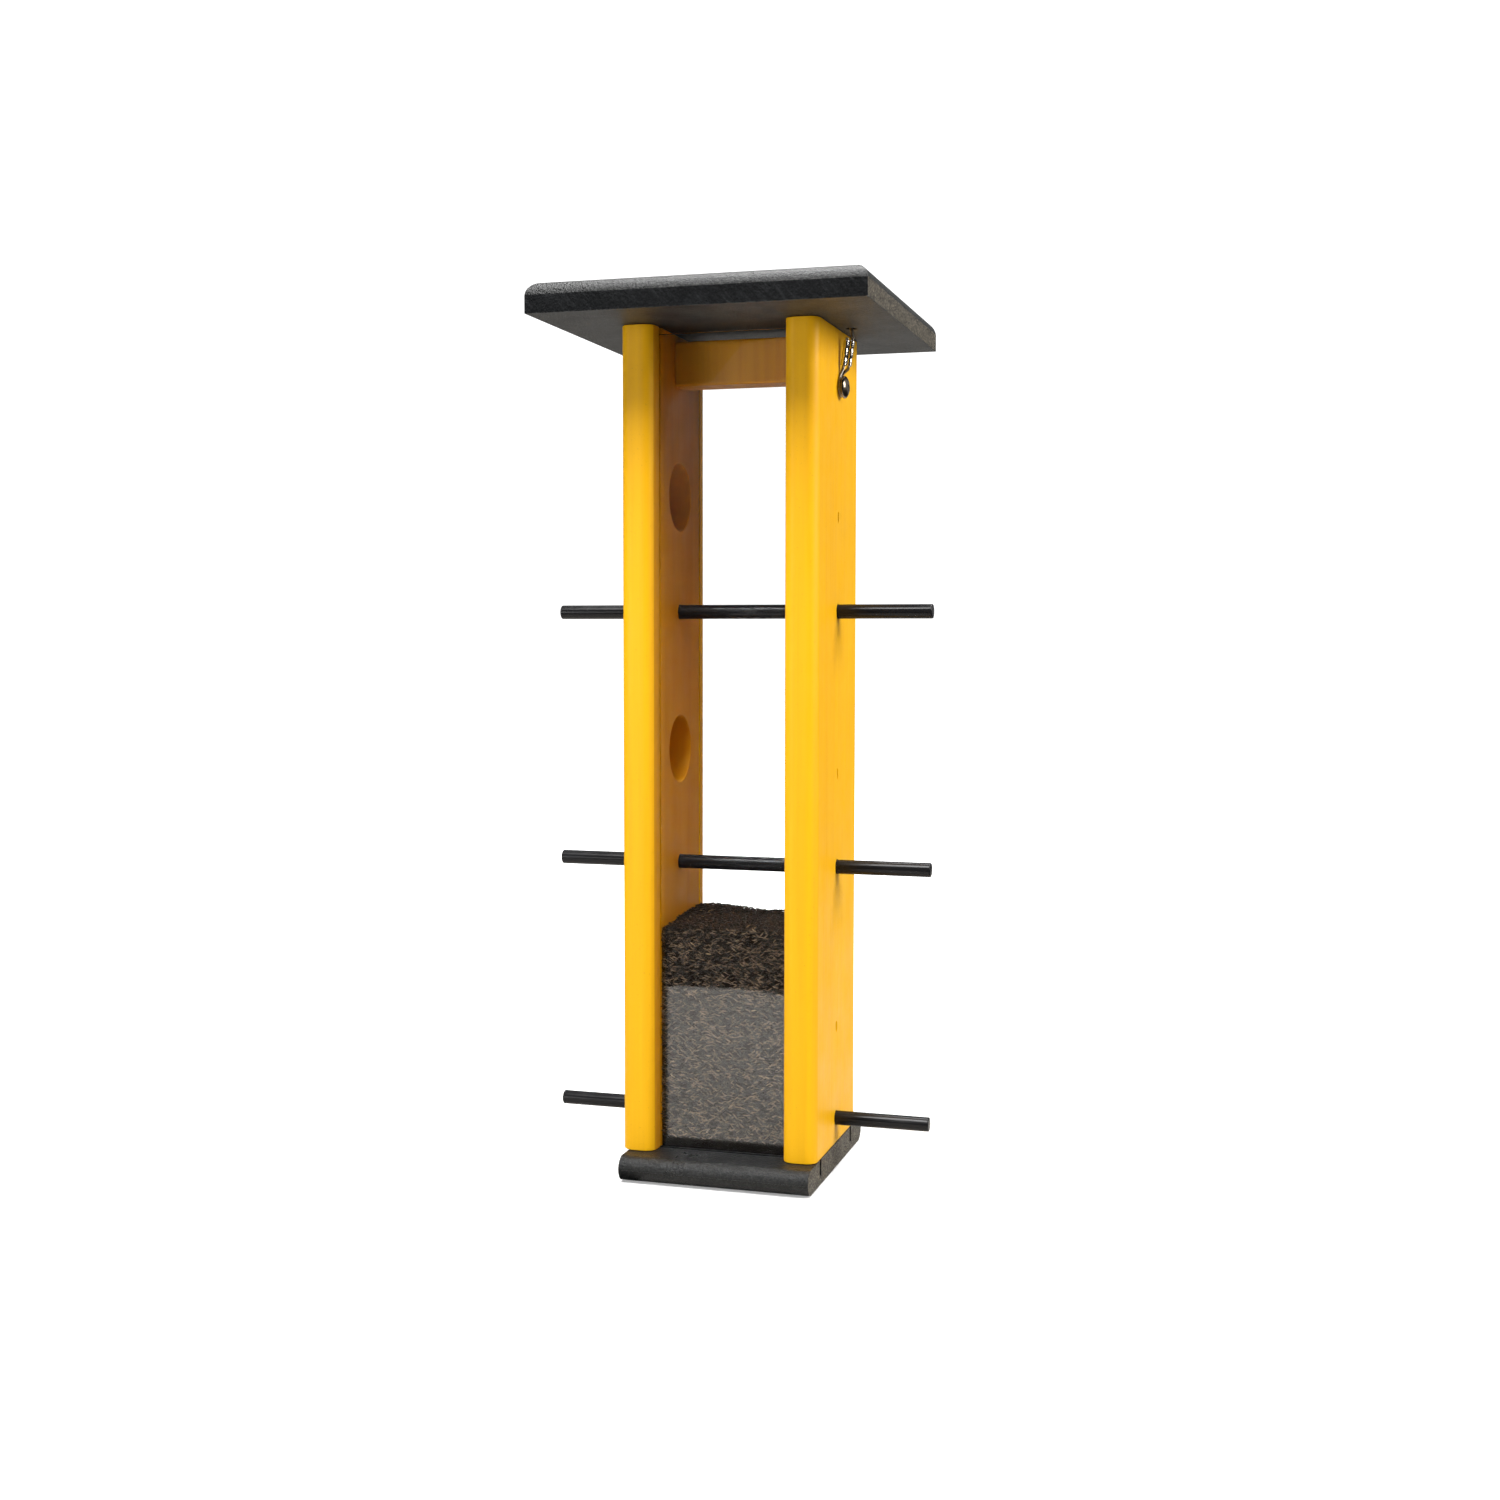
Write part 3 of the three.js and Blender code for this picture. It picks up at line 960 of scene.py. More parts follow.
def rope_tree() -> GeometryTree:
    """Wire rope along a route: a core and six strands laid round it."""
    tree = GeometryTree(
        "Lay wire rope",
        {
            "Diameter": "NodeSocketFloat",
            "Lay Length": "NodeSocketFloat",
            "Step": "NodeSocketFloat",
            "Material": "NodeSocketMaterial",
        },
    )
    given = tree.given
    route = tree.add("GeometryNodeMeshToCurve", Mesh=given["Geometry"])
    even = tree.add(
        "GeometryNodeResampleCurve", {"mode": "LENGTH"}, Curve=route.outputs[0], Length=given["Step"]
    )
    gone = tree.add("GeometryNodeSplineParameter")
    turns = tree.math("DIVIDE", gone.outputs["Length"], given["Lay Length"])
    twisted = tree.add("GeometryNodeSetCurveTilt", Curve=even.outputs[0], Tilt=tree.times(turns, TAU))
    strand_radius = tree.math("DIVIDE", given["Diameter"], 6.0)
    strand = tree.add("GeometryNodeCurvePrimitiveCircle", Resolution=8, Radius=strand_radius)
    ring = tree.add(
        "GeometryNodeCurvePrimitiveCircle", Resolution=6, Radius=tree.math("DIVIDE", given["Diameter"], 3.0)
    )
    centres = tree.add("GeometryNodeCurveToPoints", {"mode": "EVALUATED"}, Curve=ring.outputs[0])
    six = tree.add("GeometryNodeInstanceOnPoints", Points=centres.outputs[0], Instance=strand.outputs[0])
    section = tree.add("GeometryNodeJoinGeometry")
    tree.feed(section, 0, six.outputs[0])
    tree.feed(section, 0, strand.outputs[0])
    real = tree.add("GeometryNodeRealizeInstances", Geometry=section.outputs[0])
    swept = tree.add(
        "GeometryNodeCurveToMesh", Curve=twisted.outputs[0], Profile_Curve=real.outputs[0], Fill_Caps=True
    )
    smooth = tree.add("GeometryNodeSetShadeSmooth", Geometry=swept.outputs[0])
    tree.close(smooth.outputs[0])
    return tree


# -------------------------------------------------------------------------------------- sub-assemblies
@dataclass
class SideBoards:
    """The two painted boards: panel grooves, seed pockets, slit ports and rod holes."""

    finishes: Finishes
    round_over: float = 6.35 * MM
    groove_width: float = PANEL_GROOVE_WIDTH
    groove_depth: float = 6.3 * MM
    groove_y: float = PANEL_GROOVE_Y
    port_above_perch: float = BOARD_SLIT_ABOVE_PERCH
    port_size: tuple[float, float] = (2.6 * MM, 6 * MM)
    pocket_above_port: float = BOARD_POCKET_ABOVE_SLIT
    pocket_radius: float = 19 * MM
    pocket_depth: float = 14.5 * MM
    end_ease: float = 0.35 * MM

    def __post_init__(self) -> None:
        """Reads the right board's box and the heights of the rods."""
        self.low, self.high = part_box("side_board_right")
        boxes = [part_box(f"perch_{place}") for place in ("bottom", "middle", "top")]
        self.rods = [((low + high) / 2).z for low, high in boxes]
        self.rod_radius = (boxes[0][1].z - boxes[0][0].z) / 2

    def section(self) -> Outline:
        """The right board's section, counter-clockwise."""
        inner, outer, edge, r = self.low.x, self.high.x, self.high.y, self.round_over
        outline = arc(outer - r, -edge + r, r, -90, 0, 10) + arc(outer - r, edge - r, r, 0, 90, 10)
        outline += arc(inner + r, edge - r, r, 90, 180, 10)
        for y in (self.groove_y, -self.groove_y):
            top, bottom = y + self.groove_width / 2, y - self.groove_width / 2
            floor = inner + self.groove_depth
            outline += [(inner, top), (floor, top), (floor, bottom), (inner, bottom)]
        return outline + arc(inner + r, -edge + r, r, 180, 270, 10)

    def pocket_cutter(self, z: float) -> Piece:
        """A flat-bottomed bore with an eased mouth and the dimple of the bit's point."""
        r, bottom = self.pocket_radius, self.pocket_depth
        ease, mouth, corner = 0.6 * MM, -1 * MM, 0.3 * MM
        point_radius, point_depth = 1.7 * MM, 1.4 * MM
        profile = [(0, mouth), (r + ease + 0.4 * MM, mouth), (r + ease, 0)]
        for angle in (0.5, 1.0, math.pi / 2):
            profile.append((r + ease * (1 - math.sin(angle)), ease * (1 - math.cos(angle))))
        profile += [(r, bottom - corner), (r - corner, bottom)]
        profile += [(point_radius, bottom), (0, bottom + point_depth)]
        return turned("pocket cutter", profile, along((1, 0, 0), (self.low.x, 0, z)), 72)

    def port_cutter(self, z: float) -> Piece:
        """An upright slit with round ends, eased where it leaves the outer face."""
        r, reach = self.port_size[0] / 2, (self.port_size[1] - self.port_size[0]) / 2
        stations = [
            (self.low.x + self.pocket_depth - 2 * MM, 0.0),
            (self.high.x - 0.6 * MM, 0.0),
            (self.high.x - 0.2 * MM, 0.14 * MM),
            (self.high.x, 0.4 * MM),
            (self.high.x + 1 * MM, 1.2 * MM),
        ]
        rings = []
        for x, flare in stations:
            loop = arc(0, z + reach, r + flare, 0, 180, 12) + arc(0, z - reach, r + flare, 180, 360, 12)
            rings.append([(x, y, up) for y, up in loop])
        return loft("port cutter", rings)

    def hole_cutter(self, z: float, radius: float) -> Piece:
        """A round hole through the board with lightly eased mouths."""
        ease, out = 0.35 * MM, 1 * MM
        length = self.high.x - self.low.x
        wide = radius + ease
        profile = [(0, -out), (wide, -out), (wide, 0), (radius, ease)]
        profile += [(radius, length - ease), (wide, length), (wide, length + out), (0, length + out)]
        return turned("hole cutter", profile, along((1, 0, 0), (self.low.x, 0, z)), 48)

    def screw_cutter(self) -> Piece:
        """The pilot hole of the cable's screw."""
        low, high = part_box("cable_screw_right")
        middle, depth = (low + high) / 2, self.high.x - low.x
        profile = [(0, -0.3 * MM), (2.3 * MM, 0), (2.3 * MM, depth + 1 * MM), (0, depth + 1 * MM)]
        return turned("pilot cutter", profile, along((1, 0, 0), (low.x, 0, middle.z)), 24)

    def dress_board(self, piece: Piece, side: Side) -> None:
        """Gives a board its paint, with a darker copy of the paint on the face and pockets towards the seed,
        as painted shade.

        Args:
            piece: The board.
            side: The side that it stands on.
        """
        dress(piece, self.finishes.yellow)
        piece.data.materials.append(self.finishes.inside)
        limit = self.high.x - 1 * MM
        for face in piece.data.polygons:
            inward = -side.value * face.normal.x > 0.9
            between = abs(face.center.y) < self.groove_y - self.groove_width / 2
            hidden = abs(face.normal.x) < 0.9 and between and abs(face.center.x) < limit
            # Faces towards the seed, and the faces between the grooves, take the darker copy of the paint as
            # painted shade.
            if inward or (hidden and face.center.z > self.low.z + 1 * MM):
                face.material_index = 1

    def build(self) -> None:
        """Makes, paints and settles both boards."""
        def upright(x: float, y: float, z: float) -> Point:
            """Lays the section flat and runs it up Z."""
            return x, y, z

        ends = (self.low.z, self.high.z, self.end_ease)
        for side in Side:
            piece = eased_loft(f"board_{side.label}", self.section(), *ends, upright)
            cutters = [self.screw_cutter()]
            for z in self.rods:
                port = z + self.port_above_perch
                cutters.append(self.hole_cutter(z, self.rod_radius + 0.12 * MM))
                cutters.append(self.pocket_cutter(port + self.pocket_above_port))
                cutters.append(self.port_cutter(port))
            carve(piece, cutters)
            if side is Side.LEFT:
                piece.data.transform(Matrix.Rotation(math.pi, 4, "Z"))
            soften(piece)
            self.dress_board(piece, side)
            settle(piece, [f"side_board_{side.label}"])


def along_x(y: float, z: float, x: float) -> Point:
    """Turns a section in Y and Z, and a distance along X, into a point."""
    return x, y, z


@dataclass
class TopRail:
    """The painted rail between the boards' tops."""

    finishes: Finishes
    ease: float = 1.6 * MM

    def build(self) -> None:
        """Makes the rail as a prism along X with eased long edges."""
        low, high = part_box("top_rail")
        e = self.ease
        corners = [
            (high.y - e, low.z + e, -90),
            (high.y - e, high.z - e, 0),
            (low.y + e, high.z - e, 90),
            (low.y + e, low.z + e, 180),
        ]
        outline = [p for y, z, start in corners for p in arc(y, z, e, start, start + 90, 5)]
        piece = eased_loft("rail", outline, low.x, high.x, 0.25 * MM, along_x)
        soften(piece)
        # The rail under the roof takes the darker copy of the paint, as painted shade.
        dress(piece, self.finishes.inside)
        settle(piece, ["top_rail"])


@dataclass
class BasePlank:
    """The bullnosed base plank with its two saw cuts and four countersunk holes."""

    finishes: Finishes
    groove_width: float = PANEL_GROOVE_WIDTH
    groove_y: float = PANEL_GROOVE_Y
    groove_depth: float = 9 * MM
    router_step: float = 0.22 * MM
    screw_head: float = 4.2 * MM

    def section(self, low: Vector, high: Vector) -> Outline:
        """The section in Y and Z: each nose is two router passes that leave a faint line where they meet."""
        r = (high.z - low.z) / 2
        nose, middle, step = high.y - r, low.z + r, self.router_step
        outline = arc(-nose, middle, r - step, 180, 270, 12)[:-1] + [(-nose, low.z), (nose, low.z)]
        outline += arc(nose, middle, r - step, -80, 0, 12)
        outline += [(nose + r, middle + step / 2)] + arc(nose, middle, r, 6, 90, 12)
        floor = high.z - self.groove_depth
        for y in (self.groove_y, -self.groove_y):
            back, front = y + self.groove_width / 2, y - self.groove_width / 2
            outline += [(back, high.z), (back, floor), (front, floor), (front, high.z)]
        outline += arc(-nose, middle, r, 90, 174, 12) + [(-nose - r, middle + step / 2)]
        return outline

    def build(self) -> None:
        """Makes, cuts and settles the base and its screws."""
        low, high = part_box("base")
        section = self.section(low, high)
        piece = eased_loft("base_plank", section, low.x, high.x, 0.35 * MM, along_x)
        names = [f"base_screw_{side.label}_{place}" for side in Side for place in ("front", "back")]
        boxes = [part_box(name) for name in names]
        spots = [((a + b) / 2).xy for a, b in boxes]
        head, shank, out, beyond = self.screw_head, 2.2 * MM, -1 * MM, 20 * MM
        profile = [(0, out), (head, out), (head, 0.6 * MM)]
        profile += [(shank, 3.6 * MM), (shank, beyond), (0, beyond)]
        places = [along((0, 0, 1), (x, y, low.z)) for x, y in spots]
        carve(piece, [turned("countersink", profile, place, 40) for place in places])
        soften(piece)
        finishes = [self.finishes.skin, self.finishes.end]
        paint_faces(piece, finishes, lambda normal: int(abs(normal.x) > 0.9))
        settle(piece, ["base"])
        self.build_screws(names, boxes)

    def build_screws(self, names: Sequence[str], boxes: Sequence[tuple[Vector, Vector]]) -> None:
        """Repeats one countersunk screw at the four holes.

        Args:
            names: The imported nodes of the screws.
            boxes: Their boxes.
        """
        low, high = boxes[0]
        bottom, length = low.z, high.z - low.z
        r = (high.x - low.x) / 2
        shank = 1.9 * MM
        profile = [(0, 0), (r - 0.2 * MM, 0), (r, 0.25 * MM), (shank, 2.8 * MM)]
        turns, pitch, thread = 12, 2.1 * MM, 0.35 * MM
        for k in range(turns):
            z = 5 * MM + k * pitch
            profile += [(shank - thread, z), (shank, z + 0.5 * pitch)]
        profile.append((0, length))
        screw = turned("one screw", profile, Matrix.Identity(4), 32)
        carve(screw, drive_cutters(2.9 * MM, 1.9 * MM, Matrix.Identity(4)))
        soften(screw, 30)
        points = [(*((a + b) / 2).xy, bottom) for a, b in boxes]
        piece = from_faces("base_screws", points, [])
        repeat_tree().run(piece, Fastener=screw, Material=self.finishes.plated)
        bpy.data.objects.remove(screw)
        settle(piece, names)


def drive_cutters(reach: float, depth: float, place: Matrix) -> list[Piece]:
    """The two crossed wedges of a cross-head recess.

    Args:
        reach: The recess's half width.
        depth: How deep it goes along +Z from the origin.
        place: Where the head's face is.

    Returns:
        Two closed shapes to cut with.
    """
    half = 0.42 * MM
    cutters = []
    for turn in (0, math.pi / 2):
        spin = place @ Matrix.Rotation(turn, 4, "Z")
        rings = []
        for z, share in ((-1 * MM, 1.0), (0.0, 1.0), (depth, 0.35)):
            x, y = reach * share, half * (0.6 + 0.4 * share)
            rings.append([spin @ Vector(p) for p in ((-x, -y, z), (x, -y, z), (x, y, z), (-x, y, z))])
        cutters.append(loft("drive cutter", rings))
    return cutters


@dataclass
class ClearPanels:
    """The front and back clear sheets, with sawn and lightly polished edges."""

    finishes: Finishes
    edge: float = 0.25 * MM

    def build(self) -> None:
        """Makes and settles both panels."""
        for place in ("front", "back"):
            low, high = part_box(f"panel_{place}")
            outline = [(low.x, low.z), (high.x, low.z), (high.x, high.z), (low.x, high.z)]
            piece = eased_loft(f"clear_{place}", outline, low.y, high.y, self.edge, lambda x, z, y: (x, y, z))
            soften(piece, 30)
            dress(piece, self.finishes.clear)
            settle(piece, [f"panel_{place}"])


@dataclass
class Perches:
    """The three rods through both boards."""

    finishes: Finishes
    chamfer: float = 0.7 * MM

    def build(self) -> None:
        """Makes and settles the rods."""
        for place in ("bottom", "middle", "top"):
            low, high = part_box(f"perch_{place}")
            r, half, c = (high.z - low.z) / 2, (high.x - low.x) / 2, self.chamfer
            end = [(0, -half), (r * 0.45, -half + 0.04 * MM), (r - c, -half + 0.15 * MM)]
            end += [(r - 0.35 * c, -half + 0.4 * c), (r - 0.08 * c, -half + 0.75 * c)]
            end.append((r, -half + 1.3 * c))
            stretch = [(r, -half + (high.x - low.x) * k / 40) for k in range(1, 40)]
            profile = end + stretch + [(radius, -h) for radius, h in reversed(end)]
            piece = turned(f"rod_{place}", profile, along((1, 0, 0), (low + high) / 2), 56)
            soften(piece, 60)
            dress(piece, self.finishes.rod)
            settle(piece, [f"perch_{place}"])


@dataclass
class SeedBed:
    """Nyjer seed: a near-black heap, painted shade showing between and below the grains, with single grains
    laid against the panels and over the top.
    """

    finishes: Finishes
    grain_length: float = 3.3 * MM
    grain_width: float = 0.64 * MM
    front_height: float = 138 * MM
    back_height: float = 140 * MM
    left_rise: float = 2.5 * MM
    coarse_lump: float = 1.9 * MM
    fine_lump: float = 0.8 * MM
    grains_per_square_metre: float = 720000

    def __post_init__(self) -> None:
        """Reads the space between the boards and the panels."""
        front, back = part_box("panel_front"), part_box("panel_back")
        self.front, self.back = front[1].y, back[0].y
        self.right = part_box("side_board_right")[0].x - 0.2 * MM
        self.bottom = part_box("base")[1].z + 0.2 * MM
        self.rod_z = ((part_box("perch_bottom")[0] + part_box("perch_bottom")[1]) / 2).z
        self.tree = scatter_tree()

    def top(self, x: float, y: float) -> float:
        """The height of the heap at a point.

        Args:
            x: Across the hopper.
            y: From front to back.

        Returns:
            The height in metres.
        """
        share = (y - self.front) / (self.back - self.front)
        rise = self.front_height + (self.back_height - self.front_height) * math.sin(share * math.pi / 2)
        slope = self.left_rise * -x / self.right * share
        edge = 9 * MM * max(0.0, abs(x) / self.right - 0.72) ** 1.6
        coarse = self.coarse_lump * noise.noise(Vector((x * 90, y * 90, 3.1)))
        fine = self.fine_lump * noise.noise(Vector((x * 260, y * 260, 9.7)))
        return rise + slope - edge + (coarse + fine)

    @staticmethod
    def quads(across: int, up: int) -> list[tuple[int, ...]]:
        """The faces of a sheet whose points are numbered row by row."""
        wide = across + 1
        starts = [j * wide + i for j in range(up) for i in range(across)]
        return [(at, at + 1, at + wide + 1, at + wide) for at in starts]

    def grid(self, name: str, across: int, up: int, at: Callable[[float, float], Point]) -> Piece:
        """A sheet of quads.

        Args:
            name: The sheet's name.
            across: Quads one way.
            up: Quads the other way.
            at: Turns two shares from 0 to 1 into a point.

        Returns:
            The sheet.
        """
        points = [at(i / across, j / up) for j in range(up + 1) for i in range(across + 1)]
        mesh = bpy.data.meshes.new(name)
        mesh.from_pydata(points, [], self.quads(across, up))
        return new_object(name, mesh)

    def heap(self) -> Piece:
        """The closed heap under the grains."""
        behind_grains, under_grains, channel = 0.9 * MM, 0.8 * MM, 4.2 * MM
        half, front, back = self.right, self.front + behind_grains, self.back - behind_grains
        steps = 28
        xs = [half * (2 * i / steps - 1) for i in range(steps + 1)]
        ys = [front + (back - front) * j / steps for j in range(steps + 1)]
        points = [(x, y, self.top(x, y) - under_grains) for y in ys for x in xs]
        wide = steps + 1
        faces = self.quads(steps, steps)
        rim = list(range(wide)) + [j * wide + steps for j in range(1, wide)]
        rim += [steps * wide + i for i in range(steps - 1, -1, -1)]
        rim += [j * wide for j in range(steps - 1, 0, -1)]
        start = len(points)
        points += [(points[i][0], points[i][1], self.bottom) for i in rim]
        count = len(rim)
        for k in range(count):
            after = (k + 1) % count
            faces.append((rim[k], start + k, start + after, rim[after]))
        faces.append(tuple(range(start, start + count)))
        piece = from_faces("seed_heap", points, faces)
        reach = half + 1 * MM
        profile = [(0, -reach), (channel, -reach), (channel, reach), (0, reach)]
        carve(piece, [turned("rod channel", profile, along((1, 0, 0), (0, 0, self.rod_z)), 32)])
        return piece

    def pocket_plugs(self) -> list[Piece]:
        """The seed that fills the lowest pocket on each side, seen through the slits."""
        plugs = []
        z = self.rod_z + (BOARD_SLIT_ABOVE_PERCH + BOARD_POCKET_ABOVE_SLIT)
        r, depth, corner, into_heap = 18.6 * MM, 14.2 * MM, 0.6 * MM, -0.5 * MM
        profile = [(0, into_heap), (r, into_heap)]
        profile += [(r, depth - corner), (r - corner, depth), (0, depth)]
        for side in Side:
            place = along((side.value, 0, 0), (side.value * self.right, 0, z))
            plugs.append(turned(f"seed_plug_{side.label}", profile, place, 48))
        return plugs

    def grain(self) -> Piece:
        """One slender, slightly bent grain along X."""
        stations = [(-0.5, 0.14), (-0.2, 0.48), (0.2, 0.46), (0.5, 0.14)]
        sides = 4
        rings = []
        for x, share in stations:
            bend = 0.22 * self.grain_width * (1 - 4 * x * x)
            ring = []
            for k in range(sides):
                angle = TAU * k / sides
                y = share * self.grain_width * math.cos(angle)
                z = share * self.grain_width * 0.85 * math.sin(angle) + bend
                ring.append((x * self.grain_length, y, z))
            rings.append(ring)
        piece = loft("one grain", rings)
        piece.data.shade_smooth()
        return piece

    def strew(self, name: str, sheet: Piece, lie: Lie, density: float, grain: Piece, seed: int) -> None:
        """Covers a sheet with grains.

        Args:
            name: The piece's name.
            sheet: The sheet, whose normals point away from the heap.
            lie: How the grains lie.
            density: Grains for each square metre.
            grain: The grain to copy.
            seed: The seed of the random places.
        """
        pressed = lie is Lie.PRESSED
        swing, tilt = (50, 9) if pressed else (180, 34)
        sheet.name = name
        self.tree.run(
            sheet,
            Grain=grain,
            Density=density,
            Swing=math.radians(swing),
            Tilt=math.radians(tilt),
            Seed=seed,
            # Grains on top take the darker copy of the hull colours, as painted shade.
            Material=self.finishes.seed if pressed else self.finishes.loose,
        )
        settle(sheet)

    def build(self) -> None:
        """Makes the heap and strews its faces."""
        heap = self.heap()
        heap.data.shade_smooth()
        # The heap is near-black painted shade, showing in the gaps between grains and below them.
        dress(heap, self.finishes.shaded)
        settle(heap, ["seed_fill"])
        for plug in self.pocket_plugs():
            soften(plug)
            # The pocket plugs take the same near-black painted shade.
            dress(plug, self.finishes.shaded)
            settle(plug)
        grain = self.grain()
        half, lift = self.right - 0.4 * MM, 0.62 * MM
        front, back = self.front + lift, self.back - lift
        # Grains stop 6 mm above the base, so the near-black heap shows there as a painted dark strip of
        # shade.
        low = self.bottom + 6 * MM

        def at_front(u: float, v: float) -> Point:
            """A point on the face behind the front panel."""
            x = half * (2 * u - 1)
            return x, front, low + (self.top(x, front) - low) * v

        def at_back(u: float, v: float) -> Point:
            """A point on the face before the back panel."""
            x = half * (1 - 2 * u)
            return x, back, low + (self.top(x, back) - low) * v

        def on_top(u: float, v: float) -> Point:
            """A point on the heap's upper face."""
            x, y = half * (2 * u - 1), front + (back - front) * v
            return x, y, self.top(x, y)

        density = self.grains_per_square_metre
        sheets = (
            (self.grid("front", 4, 8, at_front), "seed_grains_front", Lie.PRESSED, density, 5),
            (self.grid("back", 4, 8, at_back), "seed_grains_back", Lie.PRESSED, density * 0.8, 6),
            (self.grid("top", 24, 24, on_top), "seed_grains_top", Lie.TUMBLED, density * 0.9, 7),
        )
        for sheet, name, lie, number, seed in sheets:
            self.strew(name, sheet, lie, number, grain, seed)
        bpy.data.objects.remove(grain)


@dataclass
class RoofPlank:
    """The square roof: four upper edges rounded over to mitred corners, and two cable holes."""

    finishes: Finishes
    round_over: float = 8 * MM
    hole_x: float = CABLE_HOLE_X
    hole_radius: float = 3 * MM

    def ring(self, half: Vector, by: float, z: float) -> list[Point]:
        """A square ring, smaller than the plank by a given amount all round."""
        x, y = half.x - by, half.y - by
        return [(-x, -y, z), (x, -y, z), (x, y, z), (-x, y, z)]

    @staticmethod
    def pick_finish(normal: Vector) -> int:
        """A face's finish: 1 sawn front and back, 2 cut ends, 3 dull, paler underside (painted bounce light),
        0 skin elsewhere.
        """
        flat = 0.995
        if abs(normal.y) > flat:
            return 1
        if abs(normal.x) > flat:
            return 2
        return 3 if normal.z < -flat else 0

    def build(self) -> None:
        """Makes, drills and settles the roof."""
        low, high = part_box("roof")
        half, r, lower = (high - low) / 2, self.round_over, 0.3 * MM
        rings = [self.ring(half, lower, low.z), self.ring(half, 0.08 * MM, low.z + 0.1 * MM)]
        rings.append(self.ring(half, 0, low.z + lower))
        steps = 16
        for i in range(steps + 1):
            angle = math.radians(90) * i / steps
            by, z = r * (1 - math.cos(angle)), high.z - r + r * math.sin(angle)
            rings.append(self.ring(half, by, z))
        piece = loft("roof_plank", rings)
        thick, hole = high.z - low.z, self.hole_radius
        wide, out, ease = hole + 0.5 * MM, 1 * MM, 0.5 * MM
        profile = [(0, -out), (wide, -out), (wide, 0), (hole, ease), (hole, thick - ease)]
        profile += [(wide, thick), (wide, thick + out), (0, thick + out)]
        places = [along((0, 0, 1), (side.value * self.hole_x, 0, low.z)) for side in Side]
        carve(piece, [turned("cable hole", profile, place, 40) for place in places])
        soften(piece, 34)
        finishes = [self.finishes.skin, self.finishes.sawn, self.finishes.end, self.finishes.under]
        paint_faces(piece, finishes, self.pick_finish)
        settle(piece, ["roof"], ROOF)


